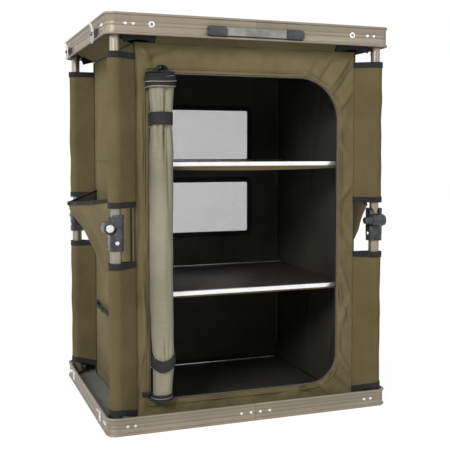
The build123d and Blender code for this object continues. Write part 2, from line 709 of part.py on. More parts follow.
def sleeves(low, high, extra=0):
    """One sleeve at each post, its tip turned to the cabinet's corner."""
    shape = sleeve(low, high, extra)
    placed = []
    for name, x, y, turn in CORNERS:
        to_x, to_y = math.copysign(BODY_X, x) - x, math.copysign(BODY_Y, y) - y
        placed.append(Pos(x, y, 0) * Rot(0, 0, math.degrees(math.atan2(to_y, to_x))) * shape)
    return placed


def sleeve_set(span):
    return group(sleeves(span[0] + BINDING_H, span[1] - BINDING_H))


def binding_set():
    """Black bindings at both ends of every sleeve."""
    rings = []
    for low, high in (UPPER_SLEEVE_Z, LOWER_SLEEVE_Z):
        rings += sleeves(low, low + BINDING_H, BINDING_EXTRA)
        rings += sleeves(high - BINDING_H, high, BINDING_EXTRA)
    return group(rings)


def pocket(low, height, out):
    """Side pocket on the right-hand panel: flat at its foot, gaping at its mouth."""
    face, high = BODY_X + CLOTH_CLEAR, low + height
    points = [(face, low), (face + POCKET_FOOT, low), (face + out, high), (face, high)]
    return Pos(0, POCKET_HALF_Y, 0) * extrude(Plane.XZ * polygon(points), 2 * POCKET_HALF_Y)


def side_pockets():
    right = [
        pocket(UPPER_POCKET_Z, UPPER_POCKET_H, UPPER_POCKET_OUT),
        pocket(LOWER_POCKET_Z, LOWER_POCKET_H, LOWER_POCKET_OUT),
    ]
    return group(right + [mirror(shape, about=Plane.YZ) for shape in right])


def hanging_straps():
    """Short webbing straps from the cloth's top edge up to the board lip, front and back."""
    low, high = UPPER_SLEEVE_Z[1] + HANG_T, HEIGHT - CLEAR_OF_LIPS - CLOTH_CLEAR
    centres = (HANG_EDGES[0] - BODY_X, BODY_X - HANG_EDGES[1])
    straps = []
    for side in (-1, 1):
        y0, y1 = outwards(side, BODY_Y + CLOTH_CLEAR, BODY_Y + CLOTH_CLEAR + HANG_T)
        straps += [block(x - HANG_W / 2, x + HANG_W / 2, y0, y1, low, high) for x in centres]
    return group(straps)


def shelf(top_z):
    """Shelf board, set back along its front and back edges for the bright trims."""
    half_y = SHELF_HALF_Y - TRIM_T - FIT
    return block(-INSIDE_X, INSIDE_X, -half_y, half_y, top_z - SHELF_T, top_z)


def shelf_trims(top_z):
    """U-section trims that clip over the shelf's front and back edges."""
    low, high = top_z - SHELF_T - FIT, top_z + FIT
    trims = []
    for side in (-1, 1):
        y0, y1 = outwards(side, SHELF_HALF_Y - TRIM_IN, SHELF_HALF_Y)
        c0, c1 = outwards(side, SHELF_HALF_Y - 2 * TRIM_IN, SHELF_HALF_Y - TRIM_T)
        outer = block(-INSIDE_X, INSIDE_X, y0, y1, low - TRIM_T, high + TRIM_T)
        trims.append(outer - block(-BODY_X, BODY_X, c0, c1, low, high))
    return group(trims)


def base_frame():
    save("base_rail", rail(BASE_RAIL_H))
    save("base_board", board())
    corner = bracket(LOWER_TUBE_D, BASE_PIVOT_Z, BASE_RAIL_H)
    save("base_corner_brackets", group([at_corner(corner, place) for place in CORNERS]))
    pin = pivot_pin(LOWER_TUBE_D, BASE_PIVOT_Z)
    pins = [at_corner(pin, place) for place in CORNERS]
    rivets = corner_rivets(BASE_RAIL_H / 2) + seam_rivets(BASE_RAIL_H / 2)
    save("base_fasteners", group(pins + rivets))
    save("base_join_plate", join_plate(BASE_RAIL_H))
    save("latch_catches", group(latch_places(latch_catch(), 0).values()))


def posts():
    pieces = {
        "lower_tube_": tube(LOWER_TUBE_D, BASE_PIVOT_Z, KNUCKLE_Z - TUBE_STOP),
        "lower_socket_": lower_socket(),
        "knuckle_pin_": knuckle_pins(),
        "upper_tube_": tube(UPPER_TUBE_D, TOP_PIVOT_Z, KNUCKLE_Z + TUBE_STOP),
        "upper_socket_": upper_socket(),
    }
    for place in CORNERS:
        for name, shape in pieces.items():
            save(name + place[0], at_corner(shape, place))


def table_top():
    save("top_rail", top_side(rail(TOP_RAIL_H)))
    save("top_board", top_side(board()))
    corner = top_side(bracket(UPPER_TUBE_D, TOP_PIVOT_DROP, TOP_RAIL_H))
    save("top_corner_brackets", group([at_corner(corner, place) for place in CORNERS]))
    pin = pivot_pin(UPPER_TUBE_D, TOP_PIVOT_Z)
    pins = [at_corner(pin, place) for place in CORNERS]
    eyelets = [on_wall(eyelet(), "front", side * (HALF_W - EYELET_INSET), TOP_RAIL_MID) for side in (-1, 1)]
    save("top_fasteners", group(pins + corner_rivets(TOP_RAIL_MID) + eyelets))
    save("top_join_plate", top_side(join_plate(TOP_RAIL_H)))
    ends, strap = handle_parts()
    save("handle_ends", on_wall(ends, "front", 0, TOP_RAIL_MID - HANDLE_DROP))
    save("handle_strap", on_wall(strap, "front", 0, TOP_RAIL_MID - HANDLE_DROP))


def latches():
    save("latch_bases", group(latch_places(latch_base(), LATCH_Z).values()))
    for name, shape in latch_places(latch_lever(), LATCH_Z).items():
        save("latch_lever_" + name, shape)
    for name, shape in latch_places(latch_bail(), LATCH_Z).items():
        save("latch_bail_" + name, shape)


def cabinet():
    save("front_panel", front_sheet(panel_outline() - opening_outline(0), -BODY_Y, CLOTH_T))
    zip_tape = opening_outline(ZIP_W) - opening_outline(0)
    save("door_zip", front_sheet(zip_tape, -BODY_Y - CLOTH_CLEAR - ZIP_T, ZIP_T))
    back = panel_outline()
    panes = []
    for span in (UPPER_WINDOW_Z, LOWER_WINDOW_Z):
        back -= window_outline(span, 0)
        panes.append(front_sheet(window_outline(span, -CLOTH_CLEAR), BODY_Y - CLOTH_T, CLOTH_T / 2))
    save("back_panel", front_sheet(back, BODY_Y - CLOTH_T, CLOTH_T))
    save("window_mesh", group(panes))
    side = block(BODY_X - CLOTH_T, BODY_X, -INSIDE_Y, INSIDE_Y, CLOTH_LOW, CEILING_Z)
    save("right_panel", side)
    save("left_panel", mirror(side, about=Plane.YZ))
    floor = block(-INSIDE_X, INSIDE_X, -INSIDE_Y, INSIDE_Y, CLOTH_LOW, CLOTH_LOW + CLOTH_T)
    ceiling = block(-INSIDE_X, INSIDE_X, -INSIDE_Y, INSIDE_Y, CEILING_Z - CLOTH_T, CEILING_Z)
    save("ceiling_and_floor", group([floor, ceiling]))
    save("door_roll", door_roll())
    save("door_ties", door_ties())
    save("upper_sleeves", sleeve_set(UPPER_SLEEVE_Z))
    save("lower_sleeves", sleeve_set(LOWER_SLEEVE_Z))
    save("sleeve_bindings", binding_set())
    save("side_pockets", side_pockets())
    save("hanging_straps", hanging_straps())


def shelves():
    for name, top_z in {"shelf_lower": LOWER_SHELF_Z, "shelf_upper": UPPER_SHELF_Z}.items():
        save(name, shelf(top_z))
        save(name + "_trim", shelf_trims(top_z))


base_frame()
posts()
table_top()
latches()
cabinet()
shelves()
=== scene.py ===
# %% [markdown]
# # A folding camping cupboard, dressed for a portrait
# The hard parts come ready from the CAD model: two bent rails, four posts with knuckles, shelves,
# rivets and latches. This script gives each of them a finish, and makes every piece of cloth itself,
# because cloth is soft and the CAD solids that stand in for it are stiff.

import bpy
import numpy as np
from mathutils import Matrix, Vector
from numpy import clip, cos, linspace, pi, sin, stack


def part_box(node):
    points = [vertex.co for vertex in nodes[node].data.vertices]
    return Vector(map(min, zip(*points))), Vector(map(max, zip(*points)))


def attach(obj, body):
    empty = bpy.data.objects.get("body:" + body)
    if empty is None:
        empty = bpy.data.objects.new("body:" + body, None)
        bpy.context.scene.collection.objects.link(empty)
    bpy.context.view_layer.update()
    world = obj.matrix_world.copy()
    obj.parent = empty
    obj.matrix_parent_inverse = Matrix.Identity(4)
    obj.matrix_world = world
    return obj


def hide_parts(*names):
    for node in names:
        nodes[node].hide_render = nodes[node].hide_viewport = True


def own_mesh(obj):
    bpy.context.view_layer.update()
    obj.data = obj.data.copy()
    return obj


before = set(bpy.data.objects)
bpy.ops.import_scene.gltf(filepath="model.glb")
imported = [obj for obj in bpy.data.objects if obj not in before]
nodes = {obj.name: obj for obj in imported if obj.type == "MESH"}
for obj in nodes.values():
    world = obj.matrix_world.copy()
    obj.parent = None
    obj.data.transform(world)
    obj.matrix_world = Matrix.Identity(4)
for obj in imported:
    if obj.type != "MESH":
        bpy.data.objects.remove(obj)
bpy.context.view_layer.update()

# %% [markdown]
# ## Where the cloth goes
# The cloth hangs from measures of the CAD model. Each is read from a node's box, so that the
# cloth stays on its carriers if the model changes. A box here is (left, right, low, high).


# %% Measures read from the model
def span(node, axis):
    """The lowest and highest value of a node's box on one axis, in metres."""
    low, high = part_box(node)
    return low[axis], high[axis]


BODY_X = span("front_panel", 0)[1]
FRONT_Y = span("front_panel", 1)[0]
BACK_Y = -FRONT_Y
CLOTH_LOW, CEILING_Z = span("front_panel", 2)
POST_X = sum(span("lower_tube_fr", 0)) / 2
POST_Y = sum(span("lower_tube_br", 1)) / 2
ROLL_Y = sum(span("door_roll", 1)) / 2
ROLL_LOW, ROLL_HIGH = span("door_roll", 2)
WINDOW_X = span("window_mesh", 0)[1]
TAPE_REACH = 0.009  # the zip's tape reaches this far beyond the opening
PANEL = (-BODY_X, BODY_X, CLOTH_LOW, CEILING_Z)
PANEL_SIZE = (2 * BODY_X, CEILING_Z - CLOTH_LOW)
(left, right), (low, high) = span("door_zip", 0), span("door_zip", 2)
HOLE = (left + TAPE_REACH, right - TAPE_REACH, low + TAPE_REACH, high - TAPE_REACH)
print("body half width", BODY_X, "front", FRONT_Y, "ceiling", CEILING_Z, "opening", HOLE)

# %% [markdown]
# ## Camera
# The camera stands left of the cupboard at two thirds of its height, and hardly tilts, so the verticals
# stay upright. A small downward shift of the film gives the framing, as a view camera's back does.

# %% Camera
FOCAL_PIXELS, PICTURE_PIXELS, SHIFT_PIXELS = 813.5, 450, -30
YAW, PITCH = np.radians(19.92), np.radians(-3.07)
camera = bpy.data.objects.new("camera", bpy.data.cameras.new("camera"))
camera.data.sensor_width = 36
camera.data.lens = 36 * FOCAL_PIXELS / PICTURE_PIXELS
camera.data.shift_y = SHIFT_PIXELS / PICTURE_PIXELS
camera.location = (-0.604, -1.7214, 0.5382)
camera.rotation_euler = (pi / 2 + PITCH, 0, -YAW)
bpy.context.collection.objects.link(camera)
bpy.context.scene.camera = camera
bpy.context.scene.view_settings.view_transform = "Standard"
print("lens", round(camera.data.lens, 2), "mm")

# %% [markdown]
# ## Writing materials as expressions
# A material is a tree of nodes, and long when it is wired by hand. So one small class wraps a socket:
# an expression such as `1 - mask * 0.5` then adds the Math nodes that it stands for.


# %% A socket that Python's operators work on
class Value:
    """One output socket of a node tree. Operators on it add Math nodes to the tree."""

    def __init__(self, wiring, socket):
        self.wiring, self.socket = wiring, socket

    def math(self, operation, *others):
        inputs = dict(enumerate((self, *others)))
        return self.wiring.node("ShaderNodeMath", {"operation": operation}, inputs)

    def __add__(self, other):
        return self.math("ADD", other)

    def __mul__(self, other):
        return self.math("MULTIPLY", other)

    def __rsub__(self, other):
        return self.wiring.node("ShaderNodeMath", {"operation": "SUBTRACT"}, {0: other, 1: self})


# %% A tree of nodes, and a material
class Wiring:
    """A node tree and the ways to add nodes to it."""

    def __init__(self, tree):
        self.tree = tree

    def node(self, kind, settings=None, inputs=None, out=0):
        """Any node: its settings first, then the values or links of its sockets."""
        made = self.tree.nodes.new(kind)
        for name, value in (settings or {}).items():
            setattr(made, name, value)
        for socket, value in (inputs or {}).items():
            if isinstance(value, Value):
                self.tree.links.new(value.socket, made.inputs[socket])
            else:
                made.inputs[socket].default_value = value
        return Value(self, made.outputs[out])

    def place(self, kind="Object"):
        return self.node("ShaderNodeTexCoord", out=kind)

    def scaled(self, vector, scale):
        return self.node("ShaderNodeVectorMath", {"operation": "MULTIPLY"}, {0: vector, 1: scale})

    def part(self, vector, axis):
        return self.node("ShaderNodeSeparateXYZ", inputs={0: vector}, out=axis)

    def noise(self, vector, scale, detail=3.0, rough=0.55):
        inputs = {"Vector": vector, "Scale": scale, "Detail": detail, "Roughness": rough}
        return self.node("ShaderNodeTexNoise", inputs=inputs)

    def mix(self, low, high, factor):
        """A colour between two colours, each written as on screen."""
        inputs = {0: factor, 6: shade(low), 7: shade(high)}
        return self.node("ShaderNodeMix", {"data_type": "RGBA"}, inputs, out=2)

    def range(self, value, low, high, to_low=0.0, to_high=1.0):
        inputs = {"Value": value, "From Min": low, "From Max": high, "To Min": to_low, "To Max": to_high}
        return self.node("ShaderNodeMapRange", inputs=inputs)

    def bump(self, height, distance, strength=1.0):
        inputs = {"Height": height, "Distance": distance, "Strength": strength}
        return self.node("ShaderNodeBump", inputs=inputs)

    def straight_rays(self):
        """1 for rays from the camera, off something glossy or through something clear, else 0."""
        kinds = ("Camera", "Glossy", "Transmission")
        camera_ray, glossy, clear = (self.node("ShaderNodeLightPath", out=f"Is {kind} Ray") for kind in kinds)
        return camera_ray.math("MAXIMUM", glossy).math("MAXIMUM", clear)


class Finish(Wiring):
    """A material on Blender's standard shader."""

    def __init__(self, name, **constants):
        self.material = bpy.data.materials.new(name)
        self.material.use_nodes = True
        super().__init__(self.material.node_tree)
        self.shader = self.tree.nodes["Principled BSDF"]
        for socket, value in constants.items():
            self.shader.inputs[socket.replace("_", " ")].default_value = value

    def set(self, **links):
        """Join values to the shader's own sockets."""
        for socket, value in links.items():
            self.tree.links.new(value.socket, self.shader.inputs[socket.replace("_", " ")])


def shade(hex_code):
    """A colour as it is written on screen, such as 6c6143, made linear: ((v + .055) / 1.055) ^ 2.4."""
    srgb = np.array([int(hex_code[i : i + 2], 16) for i in (0, 2, 4)]) / 255
    linear = np.where(srgb > 0.04045, ((srgb + 0.055) / 1.055) ** 2.4, srgb / 12.92)
    return (*(float(v) for v in linear), 1.0)


print("a dark olive is", [round(v, 3) for v in shade("6c6143")])

# %% [markdown]
# ## Metals
# The rails are extruded, then anodised to a satin warm grey. The die leaves fine lines along them, which
# noise squeezed hard across one axis draws.


# %% Rail, tube, steel and trim
def drawn_metal(name, dark, light, squeeze, roughness, metallic=0.75):
    finish = Finish(name, Metallic=metallic)
    place = finish.place()
    lines = finish.noise(finish.scaled(place, squeeze), 1.0, 4.0, 0.7)
    smudge = finish.noise(place, 14.0, 3.0)
    tone = finish.range(lines * 0.6 + smudge * 0.4, 0.3, 0.7)
    finish.set(Base_Color=finish.mix(dark, light, tone))
    finish.set(Roughness=finish.range(smudge + lines * 0.5, 0.5, 1.0, roughness, roughness + 0.14))
    finish.set(Normal=finish.bump(lines, 0.00004, 0.5))
    return finish.material


rail_metal = drawn_metal("anodised_rail", "7d7466", "978c7c", (5.0, 5.0, 900.0), 0.42, 0.6)
tube_metal = drawn_metal("anodised_tube", "857d6f", "a1988a", (700.0, 700.0, 6.0), 0.28)
steel = drawn_metal("bright_steel", "c9c9ca", "f2f2f2", (160.0, 160.0, 160.0), 0.18)
trim_metal = drawn_metal("silver_trim", "dededf", "fbfbfb", (6.0, 900.0, 900.0), 0.22)
print("metals ready")

# %% [markdown]
# ## Moulded plastic and boards
# Glass-filled nylon is never quite smooth: it has a fine grain and paler patches, scuffs where parts rub
# and, on the black nylon, painted glints of light. The boards have a leathery embossed skin, which is a coarser
# grain.


# %% Black nylon, plastics and boards
def moulded(name, dark, light, grain, depth, roughness):
    finish = Finish(name)
    place = finish.place()
    fine = finish.noise(place, grain, 5.0, 0.65)
    # Paler patches: scuffs, and on the black nylon painted glints of light.
    scuff_and_glint = finish.noise(place, 55.0, 4.0, 0.6)
    tone = finish.range(scuff_and_glint * 0.7 + fine * 0.3, 0.4, 0.75)
    finish.set(Base_Color=finish.mix(dark, light, tone))
    finish.set(Roughness=finish.range(fine, 0.3, 0.7, roughness - 0.06, roughness + 0.1))
    finish.set(Normal=finish.bump(fine, depth, 0.6))
    return finish.material


# The black nylon's pale tone is set high, so its mottled patches paint glints of light as well as scuffs.
nylon = moulded("black_nylon", "15171a", "4a4d50", 260.0, 0.0022, 0.26)
end_plastic = moulded("handle_end", "26282b", "3c3f43", 1400.0, 0.00008, 0.45)
strap_plastic = moulded("handle_strap", "75756f", "94938c", 1400.0, 0.00006, 0.32)
base_skin = moulded("base_board", "6c6d69", "82837e", 650.0, 0.00015, 0.55)
table_skin = moulded("table_board", "6e6b64", "86827a", 650.0, 0.00015, 0.5)
shelf_skin = moulded("shelf_board", "2c2927", "484340", 420.0, 0.0002, 0.45)
print("plastics ready")

# %% [markdown]
# ## Cloth
# Canvas is two sets of threads that pass over and under each other. On the piece's own flat measure,
# kept in its UV map in metres, one sine across and one along give the threads, and their product is
# the chequer of a plain weave. Broad noise adds the uneven dye, and a stretched one the thick threads.


# %% Woven finishes
def woven(name, dark, light, pitch, depth, sheen, roughness=0.85, crumpled=0.0):
    """pitch is the distance between threads and depth their relief; crumpled is the height of creases."""
    finish = Finish(name, Sheen_Weight=sheen, Sheen_Roughness=0.5, Specular_IOR_Level=0.2)
    flat = finish.place("UV")
    turn = 2 * pi / pitch
    across, along = ((finish.part(flat, axis) * turn).math("SINE") for axis in "XY")
    weave = across * along
    slubs = finish.noise(finish.scaled(flat, (30.0, 900.0, 1.0)), 1.0, 3.0)
    dye = finish.noise(finish.place(), 9.0, 4.0, 0.6)
    tone = finish.range(dye * 0.7 + slubs * 0.3 + weave * 0.05, 0.34, 0.66)
    finish.set(Base_Color=finish.mix(dark, light, tone))
    finish.set(Roughness=finish.range(slubs, 0.3, 0.7, roughness, min(1.0, roughness + 0.1)))
    crumple = finish.noise(finish.place(), 26.0, 3.0, 0.5)
    height = weave * (depth * 0.5) + slubs * (depth * 0.8) + crumple * crumpled
    finish.set(Normal=finish.bump(height, 1.0))
    return finish.material


olive = woven("olive_canvas", "62573b", "74694a", 0.0011, 0.00016, 0.02, crumpled=0.0030)
sleeve_olive = woven("olive_sleeve", "584d32", "685d40", 0.0011, 0.00016, 0.02, crumpled=0.0034)
lining = woven("dark_lining", "302f2a", "3f3e37", 0.0009, 0.0001, 0.0, 0.5, crumpled=0.0014)
door_back = woven("door_canvas", "7c7764", "918c79", 0.0010, 0.00012, 0.02, 0.7, crumpled=0.0012)
webbing = woven("black_webbing", "1b1b1c", "323233", 0.0016, 0.0003, 0.02, 0.75)
piping = woven("light_piping", "7c7a72", "a09e96", 0.0012, 0.0002, 0.02, 0.7)
thread = woven("sewing_thread", "4a412a", "5a5034", 0.0006, 0.0001, 0.1, 0.7)


# %% The window's net
def net(name, pitch):
    """Threads in two directions with holes between them: a point is thread where either sine is low."""
    finish = Finish(name, Roughness=0.7)
    flat = finish.place("UV")
    turn = pi / pitch
    across, along = ((finish.part(flat, axis) * turn).math("SINE").math("ABSOLUTE") for axis in "XY")
    holes = across.math("MINIMUM", along)
    dye = finish.noise(finish.place(), 12.0)
    finish.set(Base_Color=finish.mix("5a5247", "857c70", dye))
    finish.set(Alpha=1 - holes.math("GREATER_THAN", 0.42))
    return finish.material


netting = net("window_net", 0.0012)
print("cloth finishes ready")

# %% [markdown]
# ## Dressing the CAD parts
# Each hard node gets its finish. Real edges are never razor sharp, so a narrow bevel is added by a
# modifier after a weld that joins the loose triangles, and shading is smooth across it.

# %% Finishes and edges on the hard nodes
FINISHES = {
    "base_rail top_rail": rail_metal,
    "base_board": base_skin,
    "top_board": table_skin,
    "handle_ends": end_plastic,
    "handle_strap": strap_plastic,
    "shelf_lower_trim shelf_upper_trim": trim_metal,
    "shelf_lower shelf_upper": shelf_skin,
    "lower_tube upper_tube": tube_metal,
    "lower_socket upper_socket latch_bases base_corner top_corner": nylon,
    "knuckle_pin latch_lever latch_bail latch_catches base_fasteners top_fasteners base_join top_join": steel,
}
BEVELS = {"rail": 0.0005, "tube": 0.0, "socket": 0.0007, "corner": 0.0006, "handle": 0.0005, "board": 0.0006}


def soften_edges(piece, width):
    """Weld the loose triangles, round the sharp edges and shade smoothly over the round ones."""
    piece.modifiers.new("weld", "WELD").merge_threshold = 0.00001
    if width:
        bevel = piece.modifiers.new("edges", "BEVEL")
        bevel.width, bevel.segments, bevel.limit_method = width, 2, "ANGLE"
        bevel.angle_limit, bevel.harden_normals = np.radians(33), True
    piece.modifiers.new("split", "EDGE_SPLIT").split_angle = np.radians(34)
    piece.data.polygons.foreach_set("use_smooth", np.ones(len(piece.data.polygons), bool))


dressed = 0
for name, piece in nodes.items():
    material = next((m for words, m in FINISHES.items() if name.startswith(tuple(words.split()))), None)
    if material is None:  # a stand-in for cloth
        continue
    piece.data.materials.clear()
    piece.data.materials.append(material)
    soften_edges(piece, next((w for part, w in BEVELS.items() if part in name), 0.0002))
    dressed += 1
print("hard nodes dressed:", dressed)

# %% [markdown]
# ## Cloth as grids
# A sheet of cloth is a grid of points: its columns run round or across the piece and its rows along
# it. One helper gives any such grid a thickness, a lined inner side and a flat measure for its weave.


# %% Lines of points
def walk(line, closed=False):
    """Distance walked along a line of points, from 0 at its first point."""
    line = np.vstack([line, line[:1]]) if closed else line
    return np.concatenate([[0], np.cumsum(np.linalg.norm(np.diff(line, axis=0), axis=1))])


def read_off(line, walked, places):
    """Points of a line at the given walked distances."""
    return stack([np.interp(places, walked, line[:, k]) for k in range(line.shape[1])], axis=1)


def evenly(line, count, least_step=0.0):
    """Points at equal steps round a closed line, and its whole length."""
    line = np.vstack([line, line[:1]])
    walked = walk(line) + least_step * np.arange(len(line))
    return read_off(line, walked, linspace(0, walked[-1], count, endpoint=False)), walked[-1]


def smoothed(places, listed, values, fine, weights):
    """Values between the listed ones, evened out by a running mean with these weights."""
    padded = np.pad(np.interp(fine, listed, values), len(weights) // 2, mode="edge")
    return np.interp(places, fine, np.convolve(padded, weights / weights.sum(), mode="valid"))


# %% From a grid of points to a sheet of cloth
def normals_of(grid, wrap):
    """Unit normals: the cross product of the steps along the columns and along the rows."""
    across = np.roll(grid, -1, axis=1) - np.roll(grid, 1, axis=1) if wrap else np.gradient(grid, axis=1)
    normal = np.cross(across, np.gradient(grid, axis=0))
    return normal / np.maximum(np.linalg.norm(normal, axis=2, keepdims=True), 1e-12)


def put(name, points, corners, materials, caps=(), kinds=None):
    """A mesh object from points, the corners (number, flat u, flat v) of its faces, and end caps, each a
    list of (numbers, flats)."""
    faces = corners[..., 0].astype(int).tolist() + [numbers for numbers, _ in caps]
    flats = np.concatenate([corners[..., 1:].reshape(-1, 2), *(places for _, places in caps)])
    mesh = bpy.data.meshes.new(name)
    mesh.from_pydata(points.reshape(-1, 3).tolist(), [], faces)
    mesh.uv_layers.new(name="flat").data.foreach_set("uv", flats.astype(np.float32).ravel())
    for material in materials:
        mesh.materials.append(material)
    mesh.polygons.foreach_set("use_smooth", np.ones(len(faces), bool))
    if kinds is not None:
        mesh.polygons.foreach_set("material_index", kinds.astype(np.int32))
    mesh.update()
    piece = bpy.data.objects.new(name, mesh)
    bpy.context.collection.objects.link(piece)
    return piece


def squares(patch):
    """Corners of every square of a patch, where each point is (number, flat u, flat v)."""
    return stack([patch[:-1, :-1], patch[:-1, 1:], patch[1:, 1:], patch[1:, :-1]], axis=2).reshape(-1, 4, 3)


def cloth(name, grid, thickness, outside, inside=None, wrap=False):
    """A closed shell round a grid: two skins, half a thickness to each side, joined at the rims."""
    rows, columns = grid.shape[:2]
    lift = normals_of(grid, wrap) * thickness / 2
    numbers = np.arange(2 * rows * columns).reshape(2, rows, columns)
    numbers = np.pad(numbers, ((0, 0), (0, 0), (0, int(wrap))), mode="wrap")
    flat = np.meshgrid(walk(grid[rows // 2], wrap), walk(grid[:, columns // 2]))
    skins = stack([stack([number, *flat], axis=2) for number in numbers])
    patches = [skins[0], skins[1].swapaxes(0, 1), skins[::-1, 0], skins[:, -1]]
    if not wrap:
        patches += [skins[:, :, 0], skins[::-1, :, -1]]
    cut = [squares(patch) for patch in patches]
    kinds = np.repeat(np.arange(len(cut)) == 1, [len(part) for part in cut]) * bool(inside)
    materials = [outside, inside] if inside else [outside]
    return put(name, stack([grid + lift, grid - lift]), np.concatenate(cut), materials, kinds=kinds)


# %% Folds, ripples and stitches
def ripples(a, b, seed, size, height, count=9):
    """Gentle unevenness: sines of nearly the same wavelength in many directions, added and evened out."""
    chance = np.random.default_rng(seed)
    total = np.zeros(np.broadcast(a, b).shape)
    for _ in range(count):
        heading, start = chance.uniform(0, 2 * pi, 2)
        wave = 2 * pi / (size * chance.uniform(0.7, 1.5))
        total += sin(wave * (a * cos(heading) + b * sin(heading)) + start)
    return height * total / count**0.5


def creases(a, b, lines):
    """Soft folds, each (a0, b0, a1, b1, width, height) in mm: a bell across its line,
    exp(-(distance / width)^2), that fades at both ends."""
    total = np.zeros(np.broadcast(a, b).shape)
    for a0, b0, a1, b1, width, height in np.array(lines) / 1000:
        run = np.hypot(a1 - a0, b1 - b0)
        along = ((a - a0) * (a1 - a0) + (b - b0) * (b1 - b0)) / run**2
        across = ((a - a0) * (b1 - b0) - (b - b0) * (a1 - a0)) / run
        total += height * np.exp(-((across / width) ** 2)) * np.exp(-((np.abs(along - 0.5) / 0.45) ** 4))
    return total


def stitches(name, line, out, pitch=0.0045, length=0.0028, width=0.0007, proud=0.0005):
    """A row of lozenge-shaped stitches: each an eight-faced stone laid along the line, raised by out."""
    walked = walk(line)
    middles = np.arange(pitch / 2, walked[-1], pitch)
    tangent = read_off(line, walked, middles + 0.001) - read_off(line, walked, middles - 0.001)
    tangent /= np.linalg.norm(tangent, axis=1, keepdims=True)
    up = np.broadcast_to(np.asarray(out, float), tangent.shape)
    side = np.cross(up, tangent)
    at = read_off(line, walked, middles) + up * 0.0002
    reaches = (-tangent * length / 2, side * width / 2, tangent * length / 2, -side * width / 2)
    points = stack([at + reach for reach in (*reaches, up * proud, -up * proud)], axis=1)
    stone = np.array([[0, 4, 1], [1, 4, 2], [2, 4, 3], [3, 4, 0], [1, 5, 0], [2, 5, 1], [3, 5, 2], [0, 5, 3]])
    faces = (np.arange(len(at))[:, None, None] * 6 + stone[None]).reshape(-1, 3)
    return put(name, points, stack([faces, 0 * faces, 0 * faces], axis=2), [thread])


# %% What every piece of cloth says about itself
def sew(piece, slot, node=None, lean=(0, 0), foot=(0, 0)):
    """Cloth hides the CAD solid that it stands for, if one is named, and belongs to the base.
    The slot, lean and foot are not used."""
    if node:
        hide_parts(node)
    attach(piece, "base")
    -lean[0]
    -lean[1]
    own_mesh(piece)
    return piece


print("cloth helpers ready")

# %% [markdown]
# ## The front panel
# The door opening is round at its right-hand corners. A ring-shaped grid suits it: every column runs
# from a point on the opening's edge out to a point on the panel's rim. Pulled cloth folds between the
# panel's corners and the opening, so the creases fan out there.


# %% Outlines of an opening and its panel
def rounded(box, radii, count):
    """A rectangle with its own radius at each corner, walked anticlockwise from its lower left in equal
    steps: the corners' arcs are joined, then read off."""
    left, right, low, high = box
    line, lower = [], [(left, low, 1, 1, 180), (right, low, -1, 1, 270)]
    upper = [(right, high, -1, -1, 0), (left, high, 1, -1, 90)]
    for (x, z, sx, sz, first), radius in zip(lower + upper, radii):
        turn = np.radians(first + linspace(0, 90, 24))
        line.append(stack([x + (sx + cos(turn)) * radius, z + (sz + sin(turn)) * radius], 1))
    return evenly(np.vstack(line), count, 1e-9)[0]


def grown(box, by):
    """A box moved outwards by the same amount on all sides."""
    return box[0] - by, box[1] + by, box[2] - by, box[3] + by


def upright(line, y):
    """A flat outline stood up at y."""
    return np.insert(line, 1, y, axis=1)


def ring_between(hole, radii, count, panel, rows):
    """Grid from a rounded hole out to its panel's rim, x and z apart, and how free each point is to
    move: not at all where it is sewn, at both edges, and fully halfway. Each point of the hole is
    thrown out from the middle along its own ray, and the one nearest each corner is moved onto it."""
    inner = rounded(hole, radii, count)
    middle = np.array([(hole[0] + hole[1]) / 2, (hole[2] + hole[3]) / 2])
    left, right, low, high = panel
    ray = inner - middle
    far = np.where(ray > 0, (right, high), (left, low)) - middle
    outer = middle + ray * (far / ray).min(axis=1, keepdims=True)
    for corner in ((left, low), (right, low), (right, high), (left, high)):
        outer[np.argmin(np.linalg.norm(outer - corner, axis=1))] = corner
    share = linspace(0, 1, rows)[:, None, None]
    flat = inner[None] * (1 - share) + outer[None] * share
    free = clip(4 * share[..., 0] * (1 - share[..., 0]), 0, 1) ** 0.6
    return flat[..., 0], flat[..., 1], free


HOLE_RADII = (0.003, 0.062, 0.088, 0.003)
px, pz, held = ring_between(HOLE, HOLE_RADII, 900, PANEL, 30)
print("front grid", px.shape)

# %% Creases in the front panel
PANEL_THICK = 0.0009
FRONT_FOLDS = [
    (165, 655, 225, 735, 6, 3.2), (180, 640, 236, 715, 5, -2.6), (190, 615, 236, 672, 6, 2.6),
    (150, 672, 200, 742, 6, -2.2), (120, 690, 150, 740, 8, 1.6), (196, 560, 234, 520, 8, 1.8),
    (200, 430, 232, 470, 7, 2.2), (200, 390, 232, 340, 7, -1.8), (200, 300, 235, 215, 7, 3),
    (205, 245, 236, 170, 6, -2.8), (198, 160, 232, 235, 8, 2.4), (192, 120, 234, 60, 7, 3.4),
    (170, 85, 222, 30, 7, -3), (150, 68, 185, 20, 7, 2.8), (110, 55, 150, 16, 7, -1.8),
    (-228, 640, -216, 420, 6, 3), (-216, 560, -226, 330, 6, -2.6), (-228, 330, -214, 140, 7, 2.8),
    (-214, 160, -230, 30, 6, -2.4), (-200, 700, -228, 742, 6, 2.6), (-150, 742, -215, 706, 7, -2),
    (-231, 735, -230, 400, 6, -3), (-230, 400, -232, 20, 6, -3),
]  # fmt: skip
swell = 2.4 * creases(px, pz, FRONT_FOLDS) + ripples(px, pz, 3, 0.09, 0.0016)
swell += ripples(px, pz, 4, 0.030, 0.0007)
front_grid = stack([px, FRONT_Y + 0.0012 - held * swell, pz], axis=-1)
front = cloth("front_cloth", front_grid[:, ::-1], PANEL_THICK, olive, lining, wrap=True)
sew(front, "olive_canvas", "front_panel")
front_area = PANEL_SIZE[0] * PANEL_SIZE[1] - (HOLE[1] - HOLE[0]) * (HOLE[3] - HOLE[2])
print("front cloth area", round(front_area, 3), "square metres")


# %% [markdown]
# ## Tubes along a line
# Zip coils, piping and hems are strips: a ring of points is carried along a line and stays square to it.


